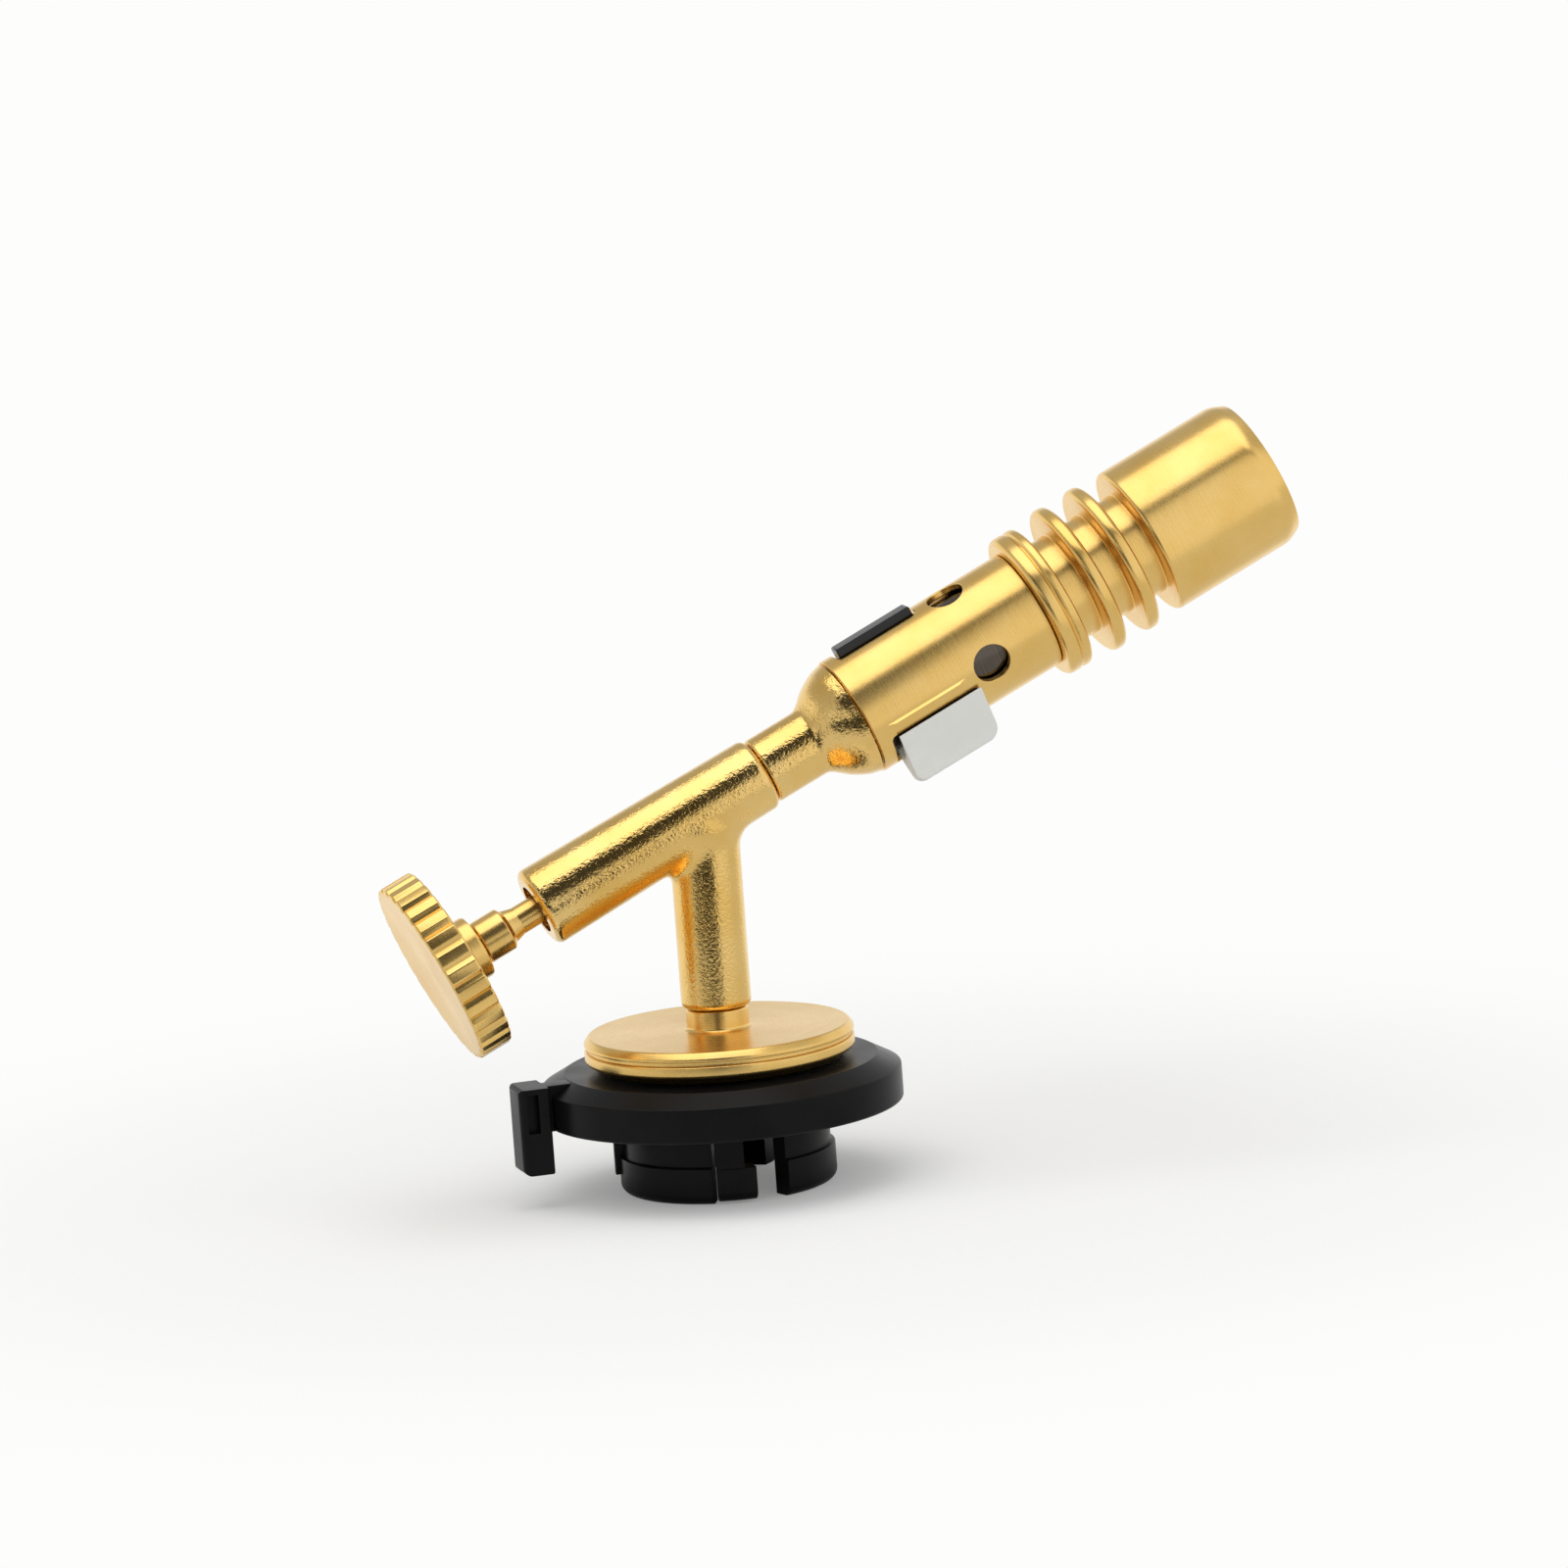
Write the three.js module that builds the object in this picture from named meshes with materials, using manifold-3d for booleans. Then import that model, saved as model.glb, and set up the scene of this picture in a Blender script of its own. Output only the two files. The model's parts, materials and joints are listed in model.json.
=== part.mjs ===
// Brass gas burner torch head for a bayonet can: a plastic bayonet base, a valve casting with a
// control knob, and a burner tube with an air shutter, cooling fins and a flame nozzle.
// Millimetres, +Z up. The origin is the centre of the bayonet collar's foot, on the stem's axis.
// The burner tube leans up towards +X, and the knob is at its other end, towards -X.

import * as THREE from "three";
import { mergeVertices } from "three/addons/utils/BufferGeometryUtils.js";
import Module from "manifold-3d";

const wasm = await Module();
wasm.setup();

// Clearances and cutting
const gap = 0.3; // clear space between two pieces that seat on or in each other
const overrun = 2; // how far a cutting tool runs past a face

// Faces in the round pieces
const coarseSides = 16;
const mediumSides = 24;
const fineSides = 30;

// Whole part
const burnerTiltDeg = 24.6; // burner axis above the horizontal
const axisHeight = 47.6; // where the burner axis crosses the stem, above the collar's foot

// Bayonet base moulding: a shallow shell with ribs, a collar with lugs and latches, and a finger
const base = {
  radius: 22.5,
  floor: 9.6,
  rimHeight: 4.3,
  chamferHeight: 1.6,
  chamferWidth: 2.9,
  wall: 2.2,
  ribs: 12,
  ribThickness: 1.2,
  rimRound: 0.4,
};
const collar = {
  radius: 13,
  wall: 2.6,
  lugReach: 0.55,
  lugHeight: 4.7,
  footRound: 1.2,
  repeats: 3,
  lugStartDeg: -72,
  lugDeg: 78,
  notchDeg: 19,
  slotDeg: 2.4,
  latchReach: 1.2,
  latchThickness: 2.8,
  latchLift: 0.4,
  latchNarrowDeg: 6,
  stopStartDeg: 150,
  stopDeg: 22,
  stopHeight: 2.4,
};
const finger = {
  thickness: 3.9,
  width: 6,
  length: 10.9,
  standOff: 0.5,
  round: 1.2,
  recessWidth: 1.5,
  recessLength: 4.8,
  recessDepth: 0.5,
  landStartDeg: 135,
  landEndDeg: 187,
};

// Brass mounting disc between the base and the stem
const disc = {
  radius: 16.9,
  thickness: 4.1,
  bevelHeight: 1,
  bevelWidth: 1.6,
  grooveRise: 1.3,
  grooveHeight: 0.5,
  grooveDepth: 0.35,
  round: 0.4,
  bossClearance: 0.35,
  bossLength: 2.1,
  neckRadius: 3.9,
  neckLength: 2.6,
  spigotRadius: 2.7,
  spigotLength: 7.4,
};

// Gas inlet under the base
const inlet = {
  flangeThickness: 1.2,
  flangeReach: 1.6,
  length: 6.9,
  threadRadius: 3,
  threadLength: 4.6,
  passage: 1.25,
  pocketRadius: 3.3,
  pocketDepth: 2.4,
  lipHeight: 0.5,
  lipReach: 0.5,
  round: 0.5,
};
const inletSeal = { stemHole: 1.5 };
const inletFilter = { radius: 1.9, thickness: 1.4 };
const baseScrew = {
  count: 3,
  firstDeg: 30,
  wallClearance: 0.15,
  headRadius: 1.35,
  headHeight: 1,
  shankRadius: 0.8,
  length: 5.2,
  slotWidth: 0.45,
  slotDepth: 0.4,
};

// Valve casting: a vertical stem and an inclined valve barrel in one piece
const stem = { radius: 4.4, chamfer: 0.6, passage: 1.25, fillet: 2.2, boreRadius: 3 };
const stemWasher = { thickness: 0.8, innerRadius: 1.5 };
const valve = {
  knobEndRadius: 5.2,
  burnerEndRadius: 4.75,
  knobEndLength: 24.3,
  burnerEndLength: 8.8,
  round: 1,
  recessRadius: 3.2,
  threadRadius: 2.6,
  threadLength: 10.2,
  chamberRadius: 2,
  seatRadius: 0.8,
  seatLength: 2.2,
  outletRadius: 3.3,
  outletDepth: 3.6,
};
const gland = { depth: 1, length: 2.7, holeRadius: 2.1, slotWidth: 0.9, slotDepth: 0.8 };

// Valve spindle, needle and control knob
const spindle = {
  shoulderRadius: 2.65,
  shoulderLength: 3.2,
  shoulderChamfer: 0.5,
  rodRadius: 1.8,
  freeLength: 4.6,
  spigotRadius: 1.7,
  spigotLength: 5.4,
  threadStart: 8,
  threadRadius: 2.3,
  noseGap: 1.8,
  socketRadius: 1.2,
  socketDepth: 2.6,
};
const needle = { shankRadius: 0.9, tipRadius: 0.35, taper: 2.2, reach: 0.5 };
const knob = {
  radius: 12.15,
  thickness: 4.4,
  ridges: 30,
  ridgeDepth: 0.55,
  round: 0.35,
  hubRadius: 4.2,
  hubLength: 3.2,
};

// Jet dome with its neck, and what it carries
const dome = {
  neckRadius: 4.35,
  neckLength: 7.2,
  flareLength: 5.6,
  rimRadius: 7.65,
  spigotLength: 1.4,
  wall: 1,
  cavityDepth: 4.6,
  passage: 1.25,
};
const jet = {
  headRadius: 2.9,
  headLength: 2.6,
  shankRadius: 1.8,
  shankLength: 4,
  orifice: 0.3,
  chamfer: 0.6,
};
const jetFilter = { length: 2 };
const domeSeal = { thickness: 0.8, innerRadius: 1.6 };

// Mixer barrel with its air holes and the two windows of the air shutter
const barrel = {
  radius: 7.85,
  wall: 0.8,
  length: 26.5,
  holeRadius: 2.45,
  holes: 4,
  holeFirstDeg: -79,
  holeFromEnd: 8.8,
};
const tabWindow = { fromSeam: 2.1, fromEnd: 11.7, startDeg: -66.5, corner: 1.5 };
const gripWindow = { fromSeam: 1.9, fromEnd: 13, endDeg: 194, corner: 0.8 };

// Air shutter: a thin sleeve in the barrel, turned by a tab below and a grip bar on top
const shutterTurnDeg = 36;
const windowMarginDeg = 4;
const sleeve = { wall: 0.5, endPlay: 1, holeRadius: 1.8 };
const tab = {
  restDeg: -22,
  endPlay: 0.8,
  overhang: 1,
  thickness: 1.6,
  reach: 11.6,
  corner: 1.3,
  footHeight: 0.9,
  footWidth: 3.6,
};
const grip = {
  restDeg: 180,
  endPlay: 0.4,
  thickness: 2.5,
  reach: 8.75,
  corner: 0.3,
  footHeight: 0.9,
  footWidth: 4.2,
};

// Burner head: shoulder, cooling fins and flame nozzle, turned in one piece
const head = {
  spigotLength: 3.4,
  shoulderRadius: 9.7,
  shoulderThickness: 3.2,
  shoulderRound: 0.8,
  bandDepth: 0.35,
  bandWidth: 0.7,
  bandFromFront: 1,
  fins: 2,
  finRadius: 10.1,
  finThickness: 1.85,
  finGap: 3.07,
  finRound: 0.7,
  coreRadius: 6.9,
  nozzleRadius: 9.85,
  nozzleLength: 18.3,
  nozzleWall: 1,
  nozzleBackRound: 0.6,
  lipLength: 1.7,
  lipInset: 0.8,
  lipRound: 0.8,
  floorThickness: 1,
  entryRadius: 5.7,
  throatRadius: 5.7,
  seatWidth: 0.8,
};
const holder = {
  fromMouth: 11.4,
  thickness: 1,
  holes: 12,
  holeRadius: 0.8,
  holeCircle: 6.4,
  innerHoles: 6,
  innerHoleCircle: 3.4,
};

// Colours and finishes
function finish(color, roughness, metalness) {
  return new THREE.MeshStandardMaterial({ color, roughness, metalness });
}
const satinBrass = finish(0xd9b765, 0.35, 1);
const castBrass = finish(0xc9a352, 0.25, 1);
const plainBrass = finish(0xb8934a, 0.45, 1);
const steel = finish(0xb9b9b6, 0.35, 1);
const sinteredBronze = finish(0x8c6a3a, 0.9, 0.6);
const blackPlastic = finish(0x1c1d1f, 0.55, 0);
const greyPlastic = finish(0xd2d2cc, 0.5, 0);
const rubber = finish(0x141414, 0.85, 0);
const fibre = finish(0x8a3b2c, 0.8, 0);

// Corners of an outline, each [x, y] or [x, y, fillet radius], with the fillets as arcs
function filleted(corners, steps = 2) {
  const points = [];
  corners.forEach(([x, y, radius = 0], i) => {
    const corner = new THREE.Vector2(x, y);
    if (radius === 0) {
      points.push(corner);
      return;
    }
    const [beforeX, beforeY] = corners.at(i - 1);
    const [afterX, afterY] = corners[(i + 1) % corners.length];
    const back = new THREE.Vector2(beforeX, beforeY).sub(corner);
    const ahead = new THREE.Vector2(afterX, afterY).sub(corner);
    const room = Math.min(back.length(), ahead.length()) / 2;
    const half = Math.acos(back.normalize().dot(ahead.normalize())) / 2;
    const reach = Math.min(radius / Math.tan(half), room);
    const middle = back.clone().add(ahead).normalize();
    const centre = corner.clone().addScaledVector(middle, reach / Math.cos(half));
    const first = back.multiplyScalar(reach).add(corner).sub(centre);
    const last = ahead.multiplyScalar(reach).add(corner).sub(centre);
    const sweep = Math.atan2(first.cross(last), first.dot(last));
    for (let step = 0; step <= steps; step += 1) {
      const turn = (sweep * step) / steps;
      points.push(first.clone().rotateAround(new THREE.Vector2(), turn).add(centre));
    }
  });
  return points;
}

// Solid of revolution about +Z from a closed outline of [radius, height] corners
function turned(corners, sides = fineSides) {
  const outline = filleted(corners);
  outline.push(outline[0].clone());
  return new THREE.LatheGeometry(outline, sides).rotateX(Math.PI / 2);
}

function ring(innerRadius, outerRadius, from, to, sides = fineSides) {
  return turned([[innerRadius, from], [outerRadius, from], [outerRadius, to], [innerRadius, to]], sides);
}

function rod(radius, from, to, sides = coarseSides) {
  return ring(0, radius, from, to, sides);
}

function torus(circle, section, height) {
  return new THREE.TorusGeometry(circle, section, coarseSides / 2, coarseSides).translate(0, 0, height);
}

function box(from, to) {
  const size = to.map((value, i) => value - from[i]);
  const centre = to.map((value, i) => (value + from[i]) / 2);
  return new THREE.BoxGeometry(...size).translate(...centre);
}

// Prism with a filleted outline, standing on its outline from one height to another
function prism(corners, from, to) {
  const shape = new THREE.Shape(filleted(corners));
  return new THREE.ExtrudeGeometry(shape, { depth: to - from, bevelEnabled: false }).translate(0, 0, from);
}

// Plate with a filleted outline in X and Z, centred on Y
function plate(corners, thickness) {
  return prism(corners, -thickness / 2, thickness / 2).rotateX(Math.PI / 2);
}

// Slice of a round piece between two directions about Z
function wedge(radius, startDeg, endDeg, from, to) {
  const shape = new THREE.Shape();
  const start = THREE.MathUtils.degToRad(startDeg);
  const end = THREE.MathUtils.degToRad(endDeg);
  shape.moveTo(0, 0);
  shape.lineTo(radius * Math.cos(start), radius * Math.sin(start));
  shape.absarc(0, 0, radius, start, end, false);
  return new THREE.ExtrudeGeometry(shape, {
    depth: to - from,
    bevelEnabled: false,
    curveSegments: coarseSides,
  }).translate(0, 0, from);
}

// Closed body through rings of points that all hold the same number of points
function loft(rings) {
  const sides = rings[0].length;
  const centres = [rings[0], rings.at(-1)].map((points) =>
    points.reduce((sum, point) => sum.add(point), new THREE.Vector3()).divideScalar(sides)
  );
  const vertices = [...rings.flat(), ...centres];
  const bottom = vertices.length - 2;
  const top = vertices.length - 1;
  const lastRing = (rings.length - 1) * sides;
  const faces = [];
  for (let side = 0; side < sides; side += 1) {
    const next = (side + 1) % sides;
    faces.push(bottom, next, side, top, lastRing + side, lastRing + next);
    for (let level = 0; level < rings.length - 1; level += 1) {
      const low = level * sides;
      const high = low + sides;
      faces.push(low + side, low + next, high + next, low + side, high + next, high + side);
    }
  }
  const geometry = new THREE.BufferGeometry().setFromPoints(vertices);
  geometry.setIndex(faces);
  return geometry;
}

// Cutter for an opening in a round wall: a filleted window between two directions and two heights
function windowCutter(radius, depth, startDeg, endDeg, from, to, corner) {
  const start = THREE.MathUtils.degToRad(startDeg) * radius;
  const end = THREE.MathUtils.degToRad(endDeg) * radius;
  const stepsAcross = Math.ceil((endDeg - startDeg) / (360 / coarseSides));
  const across = (share) => start + (end - start) * share;
  const acrossShares = Array.from({ length: stepsAcross - 1 }, (unused, i) => (i + 1) / stepsAcross);
  const inside = acrossShares.map(across).filter((u) => u > start + corner && u < end - corner);
  const outline = filleted([
    [start, from, corner],
    ...inside.map((u) => [u, from]),
    [end, from, corner],
    [end, to, corner],
    ...inside.toReversed().map((u) => [u, to]),
    [start, to, corner],
  ]);
  const wrapped = (distance) =>
    outline.map(({ x, y }) => {
      const angle = x / radius;
      return new THREE.Vector3(distance * Math.cos(angle), distance * Math.sin(angle), y);
    });
  return loft([wrapped(radius - depth), wrapped(radius + depth)]);
}

// Closed geometry as a solid for cutting and joining
function asSolid(body) {
  if (body instanceof wasm.Manifold) {
    return body;
  }
  body.deleteAttribute("normal");
  body.deleteAttribute("uv");
  const merged = mergeVertices(body);
  const index = merged.index.array;
  const faces = [];
  for (let i = 0; i < index.length; i += 3) {
    const [a, b, c] = index.slice(i, i + 3);
    if (a !== b && b !== c && c !== a) {
      faces.push(a, b, c);
    }
  }
  return new wasm.Manifold(
    new wasm.Mesh({
      numProp: 3,
      vertProperties: merged.attributes.position.array,
      triVerts: new Uint32Array(faces),
    })
  );
}

function join(...bodies) {
  return bodies.map(asSolid).reduce((whole, next) => whole.add(next));
}

function cut(body, ...tools) {
  return tools.map(asSolid).reduce((rest, tool) => rest.subtract(tool), asSolid(body));
}

function common(...bodies) {
  return bodies.map(asSolid).reduce((shared, next) => shared.intersect(next));
}

function piece(name, body, material) {
  const { vertProperties, triVerts } = asSolid(body).getMesh();
  const geometry = new THREE.BufferGeometry();
  geometry.setAttribute("position", new THREE.BufferAttribute(new Float32Array(vertProperties), 3));
  geometry.setIndex(Array.from(triVerts));
  geometry.computeVertexNormals();
  const mesh = new THREE.Mesh(geometry, material);
  mesh.name = name;
  return mesh;
}

function around(count, firstDeg, make) {
  return Array.from({ length: count }, (unused, i) => make(firstDeg + (360 * i) / count, i + 1));
}

// Burner frame: its +Z runs along the burner axis to the flame, its +X points down, its -Y is the
// side seen in the photograph. Heights in it count from the stem's axis.
const burner = new THREE.Group();
burner.position.z = axisHeight;
burner.rotation.y = THREE.MathUtils.degToRad(90 - burnerTiltDeg);
burner.updateMatrix();

function onBurnerAxis(geometry) {
  return geometry.applyMatrix4(burner.matrix);
}

// Heights of the base and stem, from the collar's foot up
const rimTop = base.floor + base.rimHeight;
const baseTop = rimTop + base.chamferHeight;
const ceiling = baseTop - base.wall;
const discBottom = baseTop + gap;
const discTop = discBottom + disc.thickness;
const neckTop = discTop + disc.neckLength;
const spigotTop = neckTop + disc.spigotLength;
const stemFoot = neckTop + gap;
const stemBoreTop = spigotTop + gap + stemWasher.thickness + gap;
const inletTop = ceiling - gap;
const inletBottom = inletTop - inlet.length;
const inletThreadTop = inletTop + inlet.threadLength;
const filterBottom = inletThreadTop - inletFilter.thickness;

// Stations along the burner axis, from the stem's axis towards the flame
const knobEnd = -valve.knobEndLength;
const burnerEnd = valve.burnerEndLength;
const glandBack = knobEnd + gland.depth;
const glandFront = glandBack + gland.length;
const sealSection = (valve.recessRadius - spindle.rodRadius) / 2 - gap;
const sealMiddle = glandFront + gap + sealSection;
const recessFloor = sealMiddle + sealSection + gap;
const threadEnd = recessFloor + valve.threadLength;
const outletFloor = burnerEnd - valve.outletDepth;
const seatBack = outletFloor - valve.seatLength;
const shoulderFront = knobEnd - spindle.freeLength;
const shoulderBack = shoulderFront - spindle.shoulderLength;
const hubFront = shoulderBack - gap;
const knobBack = hubFront - knob.hubLength;
const knobFace = knobBack - knob.thickness;
const spindleThreadStart = knobEnd + spindle.threadStart;
const spindleNose = threadEnd - spindle.noseGap;
const neckStart = burnerEnd + gap;
const flareStart = neckStart + dome.neckLength;
const seam = flareStart + dome.flareLength;
const domeFront = seam + dome.spigotLength;
const cavityFloor = domeFront - dome.cavityDepth;
const jetShankBack = cavityFloor - jet.shankLength;
const barrelStart = seam + gap;
const barrelEnd = seam + barrel.length;
const sleeveStart = domeFront + gap;
const sleeveEnd = barrelEnd - head.spigotLength - sleeve.endPlay;
const airHoleStation = barrelEnd - barrel.holeFromEnd;
const tabWindowStart = seam + tabWindow.fromSeam;
const tabWindowEnd = barrelEnd - tabWindow.fromEnd;
const gripWindowStart = seam + gripWindow.fromSeam;
const gripWindowEnd = barrelEnd - gripWindow.fromEnd;
const shoulderStart = barrelEnd + gap;
const shoulderEnd = shoulderStart + head.shoulderThickness;
const nozzleStart = shoulderEnd + head.finGap + head.fins * (head.finThickness + head.finGap);
const mouth = nozzleStart + head.nozzleLength;
const holderFront = mouth - holder.fromMouth;
const holderBack = holderFront - holder.thickness;

// Radii that follow from what a piece fits into
const lugRadius = collar.radius + collar.lugReach;
const latchRadius = collar.radius + collar.latchReach;
const socketRadius = collar.radius - collar.wall;
const screwCircle = socketRadius - baseScrew.wallClearance - baseScrew.headRadius;
const bossRadius = screwCircle - baseScrew.headRadius - disc.bossClearance;
const inletRadius = bossRadius - inlet.flangeReach;
const barrelBore = barrel.radius - barrel.wall;
const spigotFit = barrelBore - gap;
const sleeveRadius = barrelBore - gap;
const sleeveBore = sleeveRadius - sleeve.wall;
const nozzleBore = head.nozzleRadius - head.nozzleWall;

// The shutter's travel sets how far round the barrel the windows reach
const halfAngleDeg = (thickness) => THREE.MathUtils.radToDeg(Math.asin(thickness / 2 / barrel.radius));
const tabWindowEndDeg = tab.restDeg + halfAngleDeg(tab.thickness) + windowMarginDeg;
const gripTurnedDeg = grip.restDeg - shutterTurnDeg;
const gripWindowStartDeg = gripTurnedDeg - halfAngleDeg(grip.thickness) - windowMarginDeg;

// Shell of the base: a chamfered disc, hollow underneath, with radial ribs
function baseShell() {
  const shell = turned([
    [bossRadius + gap, ceiling],
    [base.radius - base.wall, ceiling],
    [base.radius - base.wall, base.floor],
    [base.radius, base.floor, base.rimRound],
    [base.radius, rimTop, base.rimRound],
    [base.radius - base.chamferWidth, baseTop, base.rimRound],
    [bossRadius + gap, baseTop],
  ]);
  const ribFrom = [collar.radius - collar.wall / 2, -base.ribThickness / 2, base.floor + gap];
  const ribTo = [base.radius - base.wall / 2, base.ribThickness / 2, baseTop - base.wall / 2];
  const ribs = around(base.ribs, 180 / base.ribs, (deg) =>
    box(ribFrom, ribTo).rotateZ(THREE.MathUtils.degToRad(deg))
  );
  return join(shell, ...ribs);
}

// Collar under the base: lugs with a groove above them, and a latch between each two lugs
function bayonetCollar() {
  const top = baseTop - base.wall / 2;
  const neck = turned([
    [socketRadius, 0],
    [collar.radius, 0, collar.footRound],
    [collar.radius, top],
    [socketRadius, top],
  ]);
  const lugBand = turned([
    [socketRadius, 0],
    [lugRadius, 0, collar.footRound],
    [lugRadius, collar.lugHeight],
    [socketRadius, collar.lugHeight],
  ]);
  const latchBand = turned([
    [latchRadius - collar.latchThickness, collar.latchLift],
    [latchRadius, collar.latchLift, collar.footRound],
    [latchRadius, top],
    [latchRadius - collar.latchThickness, top],
  ]);
  const reach = latchRadius + overrun;
  const latchEndDeg = collar.lugStartDeg - collar.notchDeg;
  const latchStartDeg = collar.lugStartDeg + collar.lugDeg + collar.slotDeg - 360 / collar.repeats;
  const cutTop = base.floor - gap;
  const turns = around(collar.repeats, 0, (deg) => deg);
  const lugs = turns.map((deg) => {
    const start = collar.lugStartDeg + deg;
    return common(lugBand, wedge(reach, start, start + collar.lugDeg, -overrun, collar.lugHeight));
  });
  const stopBand = ring(socketRadius, latchRadius, collar.stopHeight, top);
  const stopEndDeg = collar.stopStartDeg + collar.stopDeg;
  const stop = common(stopBand, wedge(reach, collar.stopStartDeg, stopEndDeg, collar.stopHeight, top));
  const clearings = turns.map((deg) => {
    const from = latchStartDeg - collar.slotDeg + deg;
    return wedge(reach, from, collar.lugStartDeg + deg, -overrun, cutTop);
  });
  const latches = turns.flatMap((deg) => {
    const start = latchStartDeg + deg;
    const end = latchEndDeg + deg;
    const narrowEnd = end - collar.latchNarrowDeg;
    return [
      common(latchBand, wedge(reach, start, end, -overrun, collar.lugHeight)),
      common(latchBand, wedge(reach, start, narrowEnd, -overrun, top)),
    ];
  });
  return join(cut(join(neck, stop, ...lugs), ...clearings), ...latches);
}

// Locating finger that hangs from the base's rim beside the can, under an unchamfered land
function locatingFinger() {
  const inner = base.radius + finger.standOff;
  const outer = inner + finger.thickness;
  const half = finger.width / 2;
  const bottom = baseTop - finger.length;
  const across = prism(
    [
      [-outer, -half, finger.round],
      [-inner, -half, finger.round / 2],
      [-inner, half, finger.round / 2],
      [-outer, half, finger.round],
    ],
    bottom,
    baseTop
  );
  const along = plate(
    [
      [-outer, bottom, finger.round],
      [-inner, bottom, finger.round / 2],
      [-inner, baseTop],
      [-outer, baseTop, finger.round / 2],
    ],
    finger.width
  );
  const web = box([-(outer + inner) / 2, -half, base.floor], [-base.radius + base.wall / 2, half, baseTop]);
  const landBand = ring(base.radius - base.chamferWidth, base.radius, rimTop - base.rimRound, baseTop);
  const landWedge = wedge(outer, finger.landStartDeg, finger.landEndDeg, rimTop - overrun, baseTop + overrun);
  const recessMiddle = -(inner + finger.thickness / 2);
  const recess = box(
    [recessMiddle - finger.recessWidth / 2, -half - overrun, rimTop - finger.recessLength],
    [recessMiddle + finger.recessWidth / 2, -half + finger.recessDepth, rimTop]
  );
  return cut(join(common(across, along), web, common(landBand, landWedge)), recess);
}

function screwHoles(from, to) {
  return around(baseScrew.count, baseScrew.firstDeg, (deg) =>
    rod(baseScrew.shankRadius + gap, from, to, coarseSides / 2)
      .translate(screwCircle, 0, 0)
      .rotateZ(THREE.MathUtils.degToRad(deg))
  );
}

function bayonetBase() {
  const holes = screwHoles(ceiling - overrun, baseTop + overrun);
  const body = join(baseShell(), bayonetCollar(), locatingFinger());
  return piece("bayonet_base", cut(body, ...holes), blackPlastic);
}

function baseScrews() {
  const headBottom = ceiling - gap - baseScrew.headHeight;
  const slotHalf = baseScrew.slotWidth / 2;
  const slotReach = baseScrew.headRadius + overrun;
  return around(baseScrew.count, baseScrew.firstDeg, (deg, place) => {
    const body = turned(
      [
        [0, headBottom],
        [baseScrew.headRadius, headBottom, baseScrew.headHeight / 2],
        [baseScrew.headRadius, ceiling - gap],
        [baseScrew.shankRadius, ceiling - gap],
        [baseScrew.shankRadius, ceiling + baseScrew.length],
        [0, ceiling + baseScrew.length],
      ],
      coarseSides / 2
    );
    const slot = box(
      [-slotReach, -slotHalf, headBottom - overrun],
      [slotReach, slotHalf, headBottom + baseScrew.slotDepth]
    );
    const screw = piece(`base_screw_${place}`, cut(body, slot), steel);
    screw.position.x = screwCircle;
    const direction = new THREE.Group();
    direction.rotation.z = THREE.MathUtils.degToRad(deg);
    return direction.add(screw);
  });
}

function mountingDisc() {
  const grooveLow = discTop - disc.grooveRise - disc.grooveHeight;
  const grooveHigh = discTop - disc.grooveRise;
  const threadBore = inlet.threadRadius + gap;
  const body = turned([
    [threadBore, discBottom - disc.bossLength],
    [bossRadius, discBottom - disc.bossLength],
    [bossRadius, discBottom],
    [disc.radius - disc.bevelWidth, discBottom],
    [disc.radius, discBottom + disc.bevelHeight, disc.round],
    [disc.radius, grooveLow],
    [disc.radius - disc.grooveDepth, grooveLow],
    [disc.radius - disc.grooveDepth, grooveHigh],
    [disc.radius, grooveHigh],
    [disc.radius, discTop, disc.round],
    [disc.neckRadius, discTop],
    [disc.neckRadius, neckTop],
    [disc.spigotRadius, neckTop],
    [disc.spigotRadius, spigotTop],
    [inlet.passage, spigotTop],
    [inlet.passage, inletThreadTop + gap],
    [threadBore, inletThreadTop + gap],
  ]);
  const holes = screwHoles(discBottom - overrun, ceiling + baseScrew.length + gap);
  return piece("mounting_disc", cut(body, ...holes), satinBrass);
}

function inletFitting() {
  const pocketTop = inletBottom + inlet.lipHeight + inlet.pocketDepth;
  const filterBore = inletFilter.radius + gap;
  const lip = inlet.pocketRadius - inlet.lipReach;
  const body = turned([
    [lip, inletBottom],
    [inletRadius, inletBottom, inlet.round],
    [inletRadius, inletTop - inlet.flangeThickness],
    [bossRadius, inletTop - inlet.flangeThickness],
    [bossRadius, inletTop],
    [inlet.threadRadius, inletTop],
    [inlet.threadRadius, inletThreadTop],
    [filterBore, inletThreadTop],
    [filterBore, filterBottom - gap],
    [inlet.passage, filterBottom - gap],
    [inlet.passage, pocketTop],
    [inlet.pocketRadius, pocketTop],
    [inlet.pocketRadius, inletBottom + inlet.lipHeight],
    [lip, inletBottom + inlet.lipHeight],
  ], coarseSides);
  return piece("inlet_fitting", body, plainBrass);
}

function inletSealRing() {
  const bottom = inletBottom + inlet.lipHeight + gap;
  const top = inletBottom + inlet.lipHeight + inlet.pocketDepth - gap;
  return piece(
    "inlet_seal",
    ring(inletSeal.stemHole, inlet.pocketRadius - gap, bottom, top, coarseSides),
    rubber
  );
}

function inletFilterDisc() {
  const body = rod(inletFilter.radius, filterBottom, inletThreadTop, coarseSides);
  return piece("inlet_filter", body, sinteredBronze);
}

function stemWasherRing() {
  const bottom = spigotTop + gap;
  return piece(
    "stem_washer",
    ring(stemWasher.innerRadius, stem.boreRadius - gap, bottom, bottom + stemWasher.thickness, coarseSides),
    fibre
  );
}

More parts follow.
